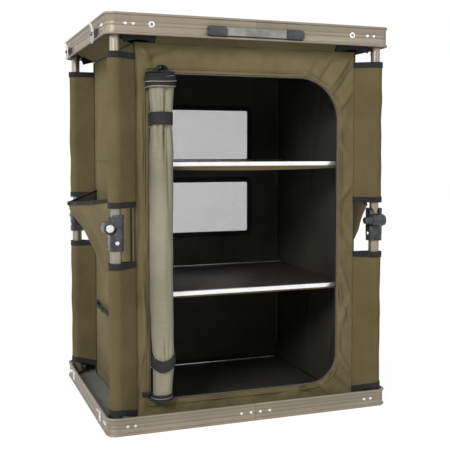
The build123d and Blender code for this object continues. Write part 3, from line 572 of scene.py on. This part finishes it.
# %% A profile carried along a path
def strip(name, line, profile, out, material, closed=False):
    """A solid strip, capped at its ends unless closed. For each place on the line, profile[k] =
    (along out, sideways) is added in the frame made of out and of its cross product with the line."""
    tangent = np.roll(line, -1, axis=0) - np.roll(line, 1, axis=0) if closed else np.gradient(line, axis=0)
    tangent /= np.linalg.norm(tangent, axis=1, keepdims=True)
    side = np.cross(np.broadcast_to(np.asarray(out, float), line.shape), tangent)
    side /= np.linalg.norm(side, axis=1, keepdims=True)
    lift = np.cross(tangent, side)
    grid = line[:, None] + profile[None, :, :1] * lift[:, None] + profile[None, :, 1:] * side[:, None]
    places, sides = grid.shape[:2]
    numbers = np.arange(places * sides).reshape(places, sides)
    girth = walk(profile, closed=True)
    flat = np.meshgrid(walk(line, closed), girth, indexing="ij")
    patch = stack([np.pad(numbers, ((0, int(closed)), (0, 1)), mode="wrap"), *flat], axis=2)
    end = np.column_stack([np.zeros(sides), girth[:-1]])
    caps = [] if closed else [(numbers[0, ::-1].tolist(), end), (numbers[-1].tolist(), end)]
    return put(name, grid, squares(patch), [material], caps)


def rod(radius, sides=8, flat=1.0):
    """A circle, or an ellipse flattened by flat, walked so that a strip's faces point outwards."""
    turn = linspace(0, 2 * pi, sides, endpoint=False)
    return stack([radius * flat * cos(turn), radius * sin(turn)], axis=1)


def band(width, thick):
    """A flat band's section with rounded edges."""
    w, t, b = width / 2, thick / 2, min(thick / 2, width / 8) * 0.8
    right = [(-t + b, -w), (t - b, -w), (t, -w + b), (t, w - b)]
    return np.array(right + [(t - b, w), (-t + b, w), (-t, w - b), (-t, -w + b)])


print("strip helper ready")

# %% [markdown]
# ## Zip round the opening
# A zip is a woven tape sewn behind the cloth's edge, with a nylon coil along its free side. Only the
# coil and a thin line of tape show.

# %% Zip tape, coil and edge stitching
FORWARD, BACKWARD, UPWARD = (0, -1, 0), (0, 1, 0), (0, 0, 1)


def edge_line(grow, lift, count=420):
    """The opening's outline moved outwards by grow, at lift in front of the cloth."""
    radii = [max(0.002, r + grow) for r in HOLE_RADII]
    return upright(rounded(grown(HOLE, grow), radii, count), FRONT_Y - lift)


coil_finish = moulded("zip_coil", "4c4640", "6a625a", 1700.0, 0.0003, 0.4)
for name, grow, lift, profile, look, slot, node in (
    ("zip_tape", 0.0002, -0.0046, band(0.0075, 0.0009), webbing, "black_webbing", "door_zip"),
    ("zip_coil", -0.0016, -0.0012, rod(0.0012, 10), coil_finish, "black_webbing", None),
    ("opening_hem", 0.0078, 0.0007, rod(0.0011, 10, 0.6), olive, "olive_canvas", None),
):
    sew(strip(name, edge_line(grow, lift), profile, FORWARD, look, closed=True), slot, node)
edge_thread = stitches("opening_stitches", edge_line(0.0108, 0.0002, 900), FORWARD)
sew(edge_thread, "olive_canvas")
# a sheet counts as at least this share of its rectangle
LEAST_SHARE = 0.301  # a share of the front panel's rectangle; the next line works out the larger of it and the front cloth's area, and keeps neither
max(front_area, LEAST_SHARE * PANEL_SIZE[0] * PANEL_SIZE[1])
print("zip goes round", round(float(walk(edge_line(0, 0))[-1]), 2), "m")

# %% [markdown]
# ## Side panels, floor and ceiling
# The side panels are rectangles pulled tight between their seams, with a few slack folds. The floor
# and ceiling close the box.

# %% Side panels
WALL_FOLDS = [
    (-50, 700, 20, 450, 10, 1.8), (100, 700, 60, 560, 9, -1.6), (-150, 250, -80, 50, 10, 2.2),
    (120, 220, 160, 40, 9, 2), (0, 210, 30, 50, 12, -1.6),
]  # fmt: skip
SIDES = {"left": -1, "right": 1}
ENDS = {"front": -1, "back": 1}


def wall_x(side, y, z):
    """Place of a side panel's middle: a slight dent, soft folds and ripples that fade at its edges."""
    edge = clip(1 - np.abs(y / BACK_Y), 0, 1) ** 0.5
    bulge = 1.8 * creases(y, z, WALL_FOLDS) + ripples(y, z, 11 if side < 0 else 12, 0.12, 0.0010)
    return side * (BODY_X - 0.0016 + edge * bulge)


def seam(name, side, corners):
    """A sewn seam on a side panel: a low folded ridge with a row of stitches under it."""
    y, z = np.vstack([linspace(corners[0], corners[1], 80), linspace(corners[1], corners[2], 80)[1:]]).T
    lines = [stack([wall_x(side, y, at) + side * 0.0006, y, at], 1) for at in (z, z - 0.004)]
    ridge = strip(name, lines[0], rod(0.0011, 8, 0.6), (side, 0, 0), sleeve_olive)
    row = stitches(name + "_stitches", lines[1], (side, 0, 0))
    return [sew(ridge, "olive_canvas"), sew(row, "olive_canvas")]


for word, side in SIDES.items():
    y = linspace(FRONT_Y + 0.0022, BACK_Y - 0.0022, 110) * side  # so the olive side faces away
    yy, zz = np.meshgrid(y, linspace(CLOTH_LOW, CEILING_Z, 180))
    grid = stack([wall_x(side, yy, zz), yy, zz], axis=-1)
    sew(cloth(f"{word}_cloth", grid, PANEL_THICK, olive, lining), "olive_canvas", f"{word}_panel")
for word, side in SIDES.items():
    seam(f"{word}_seam", side, [(-0.19, 0.517), (0.180, 0.517), (0.182, 0.449)])
# A black strip down each corner seam paints the dark shade in the gap where a sleeve meets the panels.
for (word, side), (end, sy) in ((a, b) for a in SIDES.items() for b in ENDS.items()):
    x, y = side * (BODY_X - 0.0002), sy * (BACK_Y - 0.0004)
    edge = linspace((x, y, CLOTH_LOW), (x, y, CEILING_Z), 80)
    gap_shade_strip = strip(f"{word}_{end}_corner_gap_shade", edge, rod(0.0013), (0, sy, 0), webbing)
    sew(gap_shade_strip, "black_webbing")
print("side panels", round(CEILING_Z - CLOTH_LOW, 3), "m high")

# %% Floor and ceiling
LEVELS = (("floor", CLOTH_LOW + 0.0016, 21, lining), ("ceiling", CEILING_Z - 0.002, 22, olive))
for word, z, seed, outside in LEVELS:
    x = linspace(-BODY_X + 0.003, BODY_X - 0.003, 90)
    xx, yy = np.meshgrid(x, linspace(FRONT_Y + 0.003, BACK_Y - 0.003, 70))
    edge = clip(1 - np.maximum(np.abs(xx / BODY_X), np.abs(yy / BACK_Y)), 0, 1) ** 0.5
    grid = stack([xx, yy, z + edge * ripples(xx, yy, seed, 0.15, 0.0011)], axis=-1)
    piece = cloth(f"{word}_cloth", grid, PANEL_THICK, outside, lining)
    sew(piece, "dark_lining", "ceiling_and_floor")
    2 * BODY_X
print("floor and ceiling laid")

# %% [markdown]
# ## Back panel with two net windows
# Each window is a hole in the back, edged with a wide dark binding, with net sewn behind it. Two ring
# grids, one round each window, share the panel between them.

# %% Back panel, bindings and net
WINDOWS = [(0.3373, 0.4617), (0.5185, 0.6398)]
SPLIT_Z = (WINDOWS[0][1] + WINDOWS[1][0]) / 2
REGIONS = [(CLOTH_LOW, SPLIT_Z), (SPLIT_Z, CEILING_Z)]
for number, ((low, high), region) in enumerate(zip(WINDOWS, REGIONS)):
    window = (-WINDOW_X, WINDOW_X, low, high)
    rx, rz, free = ring_between(window, (0.005,) * 4, 300, (-BODY_X, BODY_X, *region), 20)
    ring_y = BACK_Y - 0.001 + free * ripples(rx, rz, 31 + number, 0.1, 0.0012)
    ring = stack([rx, ring_y, rz], axis=-1)
    back = cloth(("back_cloth", "back_cloth_upper")[number], ring, PANEL_THICK, olive, lining, wrap=True)
    sew(back, "olive_canvas", "back_panel")
    frame_line = upright(rounded(grown(window, 0.006), (0.011,) * 4, 240), BACK_Y - 0.0010)[::-1]
    binding = strip(f"window_binding_{number}", frame_line, band(0.013, 0.0032), BACKWARD, webbing, closed=True)
    sew(binding, "black_webbing")
    gx, gz = np.meshgrid(linspace(-WINDOW_X, WINDOW_X, 80), linspace(low, high, 40))
    slack = sin(pi * (gx + WINDOW_X) / (2 * WINDOW_X)) * sin(pi * (gz - low) / (high - low))
    net_y = BACK_Y - 0.0015 - 0.002 * slack + ripples(gx, gz, 41 + number, 0.08, 0.0006) * slack
    pane = cloth(f"window_net_{number}", stack([gx, net_y, gz], axis=-1)[:, ::-1], 0.0003, netting)
    sew(pane, "window_mesh", "window_mesh")
    high - low
    size = (2 * BODY_X, region[1] - region[0])
    cut, rests = size[0] * size[1] - 2 * WINDOW_X * (high - low), ["top_rail", "base_board"]
print("windows", [round(high - low, 3) for low, high in WINDOWS], "m high")

# %% [markdown]
# ## Sleeves round the posts
# Each post wears two sleeves: a strip of canvas sewn to the cabinet's corner seam that goes round the
# tube and back to the seam. Seen from above it is a teardrop. It is loose, so its round part swells
# and folds slowly along the post, and both its ends are bound in black webbing.

# %% The teardrop round a post
POSTS = {"fl": (-1, -1), "fr": (1, -1), "br": (1, 1), "bl": (-1, 1)}
SPANS = {}
for part in ("upper", "lower"):
    low, high = span(f"{part}_sleeves", 2)
    SPANS[part] = (low - 0.010, high + 0.010)
SLEEVE_R = 0.0139
SEAM_DROP = 0.013  # how far the lower sleeves' foot hangs down at the seam


def teardrop(radius, reach, count=72, tip=0.0012):
    """Outline round a circle at the origin and a small one at reach, walked by equal lengths: the arc
    of the big circle, two straight sides that touch both, and the arc of the tip."""
    lean = pi / 2 - np.arcsin((radius - tip) / reach)
    big, small = linspace(lean, 2 * pi - lean, 60), linspace(-lean, lean, 8)
    head = stack([radius * cos(big), radius * sin(big)], 1)
    return evenly(np.vstack([head, stack([reach + tip * cos(small), tip * sin(small)], 1)]), count)


def sleeve(name, corner, low, high, seed, grow=0.0, rows=110, thickness=0.0010, look=sleeve_olive):
    """The teardrop for each height, its round part scaled by 1 + folds(angle, height) and turned to the
    cabinet's corner as complex numbers. Points near the seam, where it is thin, keep their place."""
    sx, sy = corner
    to_seam = complex(sx * (BODY_X - POST_X), sy * (BACK_Y - POST_Y))
    reach = abs(to_seam) + 0.0004
    outline, girth = teardrop(SLEEVE_R + grow, reach + grow)
    along, zz = np.meshgrid(linspace(0, 1, len(outline), endpoint=False), linspace(low, high, rows))
    loose = clip((reach - outline[:, 0]) / reach, 0, 1)[None] ** 0.7
    free = sin(pi * (zz - low) / (high - low)) ** 0.4 if grow == 0 else 1.0
    wide = ripples(along * 0.11, zz * 0.8, seed, 0.06, 0.00062)
    wide += ripples(along * 0.11, zz * 0.35, seed + 1, 0.03, 0.0004)
    shape = (outline[:, 0] + 1j * outline[:, 1])[None]
    shape = shape * (1 + loose * free * wide / np.maximum(np.abs(shape), 1e-9))
    turned = shape * to_seam / abs(to_seam)
    x, y = sx * POST_X + turned.real, sy * POST_Y + turned.imag
    near_foot = clip(1 - (zz - SPANS["lower"][0]) / 0.06, 0, 1)
    sag = SEAM_DROP * clip(outline[None, :, 0] / reach, 0, 1) * near_foot
    return cloth(name, stack([x, y, zz - sag], axis=-1), thickness, look, wrap=True), girth


# %% Eight sleeves with bound ends
BINDING = 0.0115
sleeve_count = 0
for part, (low, high) in SPANS.items():
    for place, corner in POSTS.items():
        seed = 50 + 3 * sleeve_count
        made, girth = sleeve(f"{part}_sleeve_{place}", corner, low + 0.002, high - 0.002, seed)
        sew(made, "olive_canvas", f"{part}_sleeves")
        for end, (a, b) in {"top": (high - BINDING, high), "foot": (low, low + BINDING)}.items():
            ring, _ = sleeve(f"{part}_{end}_hem_{place}", corner, a, b, seed, 0.0009, 8, 0.0016, webbing)
            sew(ring, "black_webbing", "sleeve_bindings")
        high - low
        sleeve_count += 1
print("sleeves:", sleeve_count, "girth", round(girth, 3), "m")

# %% [markdown]
# ## The rolled door
# The open door is rolled up at the left of its opening and held by two straps. Seen from above the
# cloth is a spiral whose radius grows evenly with the angle. Along its height the roll is wide at the
# top, pulled in at each strap and narrow at its foot, and its outer turns fall in long folds.

# %% Shape of the roll along its height, in millimetres: height, radius, middle
ROLL_SHAPE = [
    (45, 18.5, -186), (62, 19.0, -186), (85, 19.8, -185.5), (110, 20.8, -184), (125, 21.2, -183),
    (150, 22.2, -184), (178, 23.2, -185), (250, 24.6, -186), (366, 25.2, -187), (445, 24.8, -187.4),
    (520, 24.6, -187.4), (575, 23.4, -187), (600, 20.6, -186.4), (622, 23.4, -187), (645, 25.6, -187.2),
    (662, 26.8, -187.4), (680, 27.2, -187.6),
]  # fmt: skip
HEIGHTS, RADII, MIDDLES = np.array(ROLL_SHAPE).T / 1000
UPPER_TIE_Z, LOWER_TIE_Z = 0.600, 0.132
PINCHES = [  # (angle, height, reach along the roll, depth, width in angle), lengths in mm
    (4.95, 632, 30, 11.5, 0.17), (4.9, 566, 36, 12, 0.17), (4.5, 624, 22, 4.5, 0.14),
    (5.28, 548, 52, 7, 0.19), (4.15, 576, 28, 4.5, 0.16), (3.9, 640, 30, 3.5, 0.18),
    (5.25, 470, 50, 3, 0.18), (4.3, 380, 60, 2, 0.22), (5, 300, 50, 2.2, 0.2),
    (4.55, 230, 40, 1.6, 0.2), (4.7, 156, 26, 5, 0.16), (5.2, 152, 34, 4.8, 0.2),
    (4.25, 96, 22, 3.6, 0.18),
]  # fmt: skip
TURNS = 5.5
OUTER_R = 0.02115  # the spiral's outer radius before it is scaled


def soft_steps(z, values):
    """A measure of the roll at height z."""
    fine = linspace(HEIGHTS[0] - 0.05, HEIGHTS[-1] + 0.05, 600)
    return smoothed(z, HEIGHTS, values, fine, np.hanning(41))


def round_roll(turned, z, radius, middle=None):
    """Points round the roll's own middle at each height, a little flatter from front to back."""
    middle = soft_steps(z, MIDDLES) if middle is None else middle
    y = ROLL_Y + 0.0015 + radius * sin(turned) * 0.95
    return stack([middle + radius * cos(turned), y, z], axis=-1)


def pinched(turned, z):
    """Folds that run into the straps: bells in angle and in height, taken off the radius."""
    total = np.zeros(turned.shape)
    for angle, height, reach, depth, width in np.array(PINCHES) * (1, 0.001, 0.001, 0.001, 1):
        away = np.mod(turned - angle + pi, 2 * pi) - pi
        total += depth * np.exp(-((away / width) ** 2) - ((z - height) / reach) ** 2)
    return total


def roll_grid(low, high, rows=170, per_turn=72, start=-0.6):
    """Spiral for each height: r = 3 mm + 3.3 mm a turn, scaled by the height's radius over 21.15 mm,
    less the folds at the straps in proportion, with long folds added to the outermost turn."""
    angle = linspace(0, 2 * pi * TURNS, int(TURNS * per_turn) + 1)
    aa, zz = np.meshgrid(angle, linspace(low, high, rows))
    size = soft_steps(zz, RADII) / OUTER_R
    radius = (0.003 + 0.0033 * aa / (2 * pi)) * size
    radius = radius * (1 - pinched(aa + start, zz) / (OUTER_R * size))
    outer = clip((aa / (2 * pi) - TURNS + 1.35) / 0.35, 0, 1)
    above, below = zz - UPPER_TIE_Z, zz - LOWER_TIE_Z
    waist = 0.35 + 0.65 * clip(np.minimum(np.abs(above), np.abs(below)) / 0.05, 0, 1)
    folds = 0.0011 * sin(3 * aa + 9 * zz + 1.2) * waist + 0.0007 * sin(7 * aa - 16 * zz) * (1.4 - waist)
    gather = 0.0010 * sin(11 * aa + 5 * zz) * np.exp(-((above / 0.045) ** 2))
    gather += 0.0008 * sin(9 * aa - 4 * zz) * np.exp(-((below / 0.04) ** 2))
    radius = radius + outer * (folds + gather + ripples(aa * 0.02, zz, 71, 0.07, 0.0004))
    return round_roll(aa + start, zz, radius)


ROLL_LEAN = {"lean": (0, 0.01), "foot": (0, ROLL_Y)}
door = cloth("rolled_door", roll_grid(ROLL_LOW + 0.0035, 0.6750), 0.0011, door_back, olive)
sew(door, "door_canvas", "door_roll", **ROLL_LEAN)
print("door roll", round(ROLL_HIGH - ROLL_LOW, 3), "m long")

# %% Straps round the roll
ROUND = linspace(0, 2 * pi, 96, endpoint=False)


def tie_on(piece, node=None):
    sew(piece, "black_webbing", node, **ROLL_LEAN)


def roll_ring(name, z, more, width, thick, lobes=0.0):
    """A band of webbing round the roll at heights z, a little outside the roll's own radius."""
    line = round_roll(ROUND, z, soft_steps(z, RADII) + more + lobes * sin(9 * ROUND))
    grid = stack([line + np.array([0, 0, s]) for s in linspace(-width / 2, width / 2, 9)])
    return cloth(name, grid, thick, webbing, wrap=True)


tie_on(roll_ring("upper_tie", UPPER_TIE_Z - 0.0015 * sin(ROUND), 0.0012, 0.024, 0.0015), "door_ties")
dip = 0.010 * clip(cos(ROUND - 4.45), 0, 1) ** 2
tie_on(roll_ring("lower_tie", LOWER_TIE_Z + 0.0015 - dip, 0.0014, 0.022, 0.0015), "door_ties")
print("straps tied")

# %% [markdown]
# ## Gathered head and foot of the roll
# The zip's tape runs along the door's edge, so at the head of the roll the turns of tape lie on each
# other as a dark stack with pale piping, bunched into a cap. The foot shows one dark band.

# %% Head, foot and loop
HEAD = ((0.6665, 0.0012, 0.0105), (0.6755, 0.0022, 0.0095), (0.6835, -0.0012, 0.0080))
for number, (z, more, width) in enumerate(HEAD):
    wave = 0.0012 * sin(2 * ROUND + number) + 0.002 * cos(ROUND)
    tie_on(roll_ring(f"head_band_{number}", z + wave, more, width, 0.002, 0.0005))
    under = z - width / 2 + wave
    bead_line = round_roll(ROUND, under, soft_steps(under, RADII) + more + 0.0017)
    tie_on(strip(f"head_piping_{number}", bead_line, rod(0.0009), UPWARD, piping, closed=True))


def cap_grid(rows=30, columns=150):
    """Bunched end: radius falls from the band's to nothing, height climbs 5 mm, in eleven pleats that
    fade towards the middle."""
    t = linspace(0, 1, rows)[:, None]
    a = linspace(0, 2 * pi, columns, endpoint=False)[None]
    pleat = sin(11 * a + 2 * t) * sin(pi * t)
    radius = 0.0255 * (1 - t) ** 0.6 * (1 + 0.10 * pleat + 0.04 * sin(5 * a)) + 0.0002
    return round_roll(a, 0.6875 + 0.005 * t + 0.0016 * pleat, radius, -0.1885 + 0.003 * t)


tie_on(cloth("head_cap", cap_grid(), 0.0014, webbing, wrap=True))
arc = linspace(0, pi, 40)
LOOPS = ((-0.1900, -0.012, 0.0095, 0.0115), (-0.1850, -0.003, 0.0110, 0.0125), (-0.1800, 0.006, 0.0080, 0.0085))
for number, (x, y, wide, tall) in enumerate(LOOPS):
    loop_line = [x + wide * cos(arc), ROLL_Y + y + 0.004 * cos(arc), 0.6895 + tall * sin(arc)]
    tie_on(strip(f"head_loop_{number}", stack(loop_line, 1), band(0.009, 0.0018), UPWARD, webbing))
for number, z in enumerate((0.0573, 0.0645)):
    tie_on(roll_ring(f"foot_band_{number}", z + 0.0008 * cos(ROUND), 0.0012, 0.0060, 0.0016))
foot_line = round_roll(ROUND, 0.0609 + 0.0008 * cos(ROUND), 0.0208, -0.1860)
tie_on(strip("foot_piping", foot_line, rod(0.0007), UPWARD, piping, closed=True))

# %% [markdown]
# ## Side pockets
# A pocket is a patch sewn on at its sides and foot, and looser than the wall behind it, so its mouth
# stands open. Its depth along the mouth is read from a short list of places, and its foot is rounded.


# %% Pocket cloth and binding
def pocket(name, low, high, mouth, round_foot, seed, droop, belly=1.15):
    """x = wall + mouth(y) * height^belly + ripples, where mouth lists (place, depth) along it in mm.
    The mouth hangs lower where it stands out more, and the foot is sewn flat, with rounded corners."""
    word = name.split("_")[0]
    side = SIDES[word]
    half = span("side_pockets", 1)[1]
    uu, vv = np.meshgrid(linspace(0, 1, 140), linspace(0, 1, 70))
    y = half * (2 * uu - 1)
    places, depths = np.array(mouth).T / 1000
    ends = clip(np.minimum(uu, 1 - uu) / 0.03, 0, 1)
    out = smoothed(y, places, depths, linspace(-half, half, 400), np.ones(25)) * ends
    foot = low + round_foot * np.abs(2 * uu - 1) ** 5
    rise = vv**belly
    folds = ripples(y, vv * 0.14, seed, 0.07, 0.0036) + ripples(y, vv * 0.05, seed + 1, 0.045, 0.0030) * rise
    slack = np.minimum(out / 0.03, 1.0) * clip(vv * 3, 0, 1)
    deep = out * rise + slack * folds + 0.0016 * ends * sin(pi * vv)
    z = foot + vv * (high - foot) - droop * (out / max(depths)) * rise
    x = wall_x(side, y, z) + side * (0.0024 + np.maximum(deep, 0.0004))
    grid = stack([x, y, z], axis=-1)[:, ::side]
    inwards = {"lean": (-0.05 * side, 0), "foot": (0.275 * side, 0)}
    made = sew(cloth(name, grid, 0.0010, olive, lining), "olive_canvas", "side_pockets", **inwards)
    edge = strip(name + "_binding", grid[-1], band(0.0085, 0.0024), (side, 0, 0), webbing)
    row = stitches(name + "_stitches", grid[0] + np.array([side * 0.0005, 0, 0.004]), (side, 0, 0))
    sew(edge, "black_webbing", **inwards)
    sew(row, "olive_canvas", **inwards)


OPEN_LEFT = [(-172, 0), (-120, 14), (-60, 30), (0, 48), (80, 64), (145, 73), (158, 60), (172, 0)]
OPEN_RIGHT = [(-172, 0), (-162, 46), (-140, 60), (-100, 60), (0, 48), (90, 30), (172, 0)]
SHUT = [(-172, 0), (-100, 10), (100, 12), (172, 0)]
pocket("left_upper_pocket", 0.272, 0.446, OPEN_LEFT, 0.030, 81, 0.026)
pocket("right_upper_pocket", 0.272, 0.444, OPEN_RIGHT, 0.030, 84, 0.024, 0.75)
pocket("left_lower_pocket", 0.037, 0.185, SHUT, 0.003, 91, 0.0)
pocket("right_lower_pocket", 0.037, 0.185, SHUT, 0.003, 94, 0.0)
print("pockets sewn on")

# %% [markdown]
# ## Flaps up to the top rail, and corner webbing
# Above the ceiling seam a flap of canvas leads up and outwards to the rail on each side, in shade, and
# black webbing tabs tie the cabinet's corners to the table.

# %% Flaps
SEAM_Z, RAIL_Z = CEILING_Z - 0.001, 0.7640
FLAPS = {  # outward way, start and end along the wall, seed of the ripples, cloth below
    "front": ((0, -1), -0.196, 0.188, 101, "front_cloth"),
    "back": ((0, 1), 0.190, -0.190, 102, "back_cloth_upper"),
    "left": ((-1, 0), 0.176, -0.180, 103, "left_cloth"),
    "right": ((1, 0), -0.176, 0.180, 104, "right_cloth"),
}
for word, ((sx, sy), start, end, seed, below) in FLAPS.items():
    near, far = (BODY_X + 0.0006, 0.284) if sx else (BACK_Y + 0.0006, 0.2185)
    u, v = np.meshgrid(linspace(0, 1, 90), linspace(0, 1, 14))
    sag = sin(pi * v) * (0.0015 + ripples(u * 0.4, v * 0.02, seed, 0.06, 0.0006))
    out, at = near + (far - near) * v - sag, start + (end - start) * u
    x, y = (sx * out, at) if sx else (at, sy * out)
    grid = stack([x, y, SEAM_Z + (RAIL_Z - SEAM_Z) * v], axis=-1)
    piece = sew(cloth(f"{word}_flap", grid, PANEL_THICK, sleeve_olive, lining), "olive_canvas")
    size = (abs(end - start), float(np.hypot(far - near, RAIL_Z - SEAM_Z)))
print("flaps:", len(FLAPS))

# %% Corner tabs, the door's tug and the strip at the floor
for word, (sx, sy) in POSTS.items():
    t = linspace(0, 1, 40)
    bend = sin(pi * t)
    inner_x = 0.190 if word == "fr" else 0.196
    x, z = sx * (inner_x + (0.262 - inner_x) * t), 0.7515 + 0.006 * bend - 0.002 * t
    tab_line = stack([x, sy * (BACK_Y + 0.004 + 0.006 * bend + 0.010 * t), z], 1)
    tab = strip(f"corner_tab_{word}", tab_line, band(0.016, 0.0018), (0, sy, -0.3), webbing)
    sew(tab, "black_webbing", "hanging_straps")
    x, y = sx * 0.225, BACK_Y + 0.0022
    hang = linspace((x, sy * y, 0.750), (x, sy * (y + 0.003), 0.783), 30)
    hanger = strip(f"corner_hanger_{word}", hang, band(0.026, 0.0016), (0, sy, 0), webbing)
    sew(hanger, "black_webbing", "hanging_straps")
t = linspace(0, 1, 30)
tug_y = FRONT_Y - 0.0015 - 0.004 * sin(pi * t)
tug_line = stack([-0.2244 + 0.018 * t, tug_y, 0.0665 - 0.002 * t], 1)
sew(strip("door_tug", tug_line, band(0.009, 0.0016), FORWARD, webbing), "black_webbing")
sill_y, sill_z = BACK_Y - 0.013, CLOTH_LOW + 0.0044
sill_line = linspace((-0.226, sill_y, sill_z), (0.226, sill_y, sill_z), 40)
sew(strip("floor_trim", sill_line, rod(0.0018, 10), UPWARD, trim_metal), "silver_trim")
print("corner tabs:", 2 * len(POSTS))

# %% [markdown]
# ## Shelf hems
# Each shelf board is pushed into a cloth pocket. Under its bright trim a strip of canvas shows, deeper
# towards the middle. It rides with the shelf.

# %% Canvas strip under each shelf's front edge
for name, deepest in (("shelf_lower", 0.0004), ("shelf_upper", 0.0060)):
    x0, x1 = span(name + "_trim", 0)
    y0, z0 = span(name + "_trim", 1)[0], span(name + "_trim", 2)[0]
    uu, vv = np.meshgrid(linspace(0, 1, 80), linspace(0, 1, 8))
    drop = 0.0031 + deepest * sin(pi * clip(uu * 0.85 + 0.08, 0, 1))
    x = x0 + 0.002 + (x1 - x0 - 0.004) * uu
    y = y0 + 0.002 + 0.0015 * (1 - vv) + ripples(uu * 0.4, vv * 0.02, 111, 0.08, 0.0004)
    grid = stack([x, y, z0 - 0.0002 - (1 - vv) * drop], -1)
    shelf_hem = cloth(f"{name}_hem", grid, 0.0010, sleeve_olive, lining)
    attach(shelf_hem, name)
    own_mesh(shelf_hem)
    cut = float(np.mean(drop) * (x1 - x0))
print("shelf hems hung")

# %% [markdown]
# ## Light and floor
# Soft light from a white room: the room is pure white to the camera and half as bright as a light, so
# that the lamps can model the folds. The main lamp stands at the left front, with weaker ones at the
# left and the right. The floor is pale, glows nearly white to the camera and keeps the shadow.

# %% Lamps, world and floor
world = bpy.data.worlds.new("white_room")
bpy.context.scene.world = world
world.use_nodes = True
room = Wiring(world.node_tree)
strength = room.range(room.straight_rays(), 0.0, 1.0, 0.46, 1.0)
background = room.tree.nodes["Background"]
background.inputs["Color"].default_value = (1, 1, 1, 1)
room.tree.links.new(strength.socket, background.inputs["Strength"])


def lamp(name, place, target, size, power):
    """A square area lamp at place that faces target."""
    light = bpy.data.lights.new(name, "AREA")
    light.size, light.energy = size, power
    piece = bpy.data.objects.new(name, light)
    piece.location = place
    piece.rotation_euler = (Vector(target) - Vector(place)).to_track_quat("-Z", "Y").to_euler()
    bpy.context.collection.objects.link(piece)


lamp("key", (-2.0, -2.3, 2.0), (0, 0, 0.4), 1.0, 72)
lamp("side", (-2.6, 0.3, 1.5), (0, 0, 0.45), 1.2, 14)
lamp("fill", (1.5, -2.6, 1.8), (0, 0, 0.4), 1.4, 16)

ground = Finish("floor", Roughness=0.9)
ground.shader.inputs["Base Color"].default_value = (0.86, 0.86, 0.86, 1)
glow = ground.node("ShaderNodeEmission", inputs={"Color": (1, 1, 1, 1), "Strength": 1.14})
blend = ground.node("ShaderNodeMixShader", inputs={0: ground.straight_rays() * 0.8, 2: glow})
ground.tree.links.new(ground.shader.outputs[0], blend.socket.node.inputs[1])
ground.tree.links.new(blend.socket, ground.tree.nodes["Material Output"].inputs["Surface"])
reach = np.array([(-14, -14), (14, -14), (14, 14), (-14, 14)])
studio_points = np.column_stack([reach, np.full(4, -0.0005)])
studio_floor = put("studio_floor", studio_points, np.column_stack([range(4), reach])[None], [ground.material])
print("studio ready")
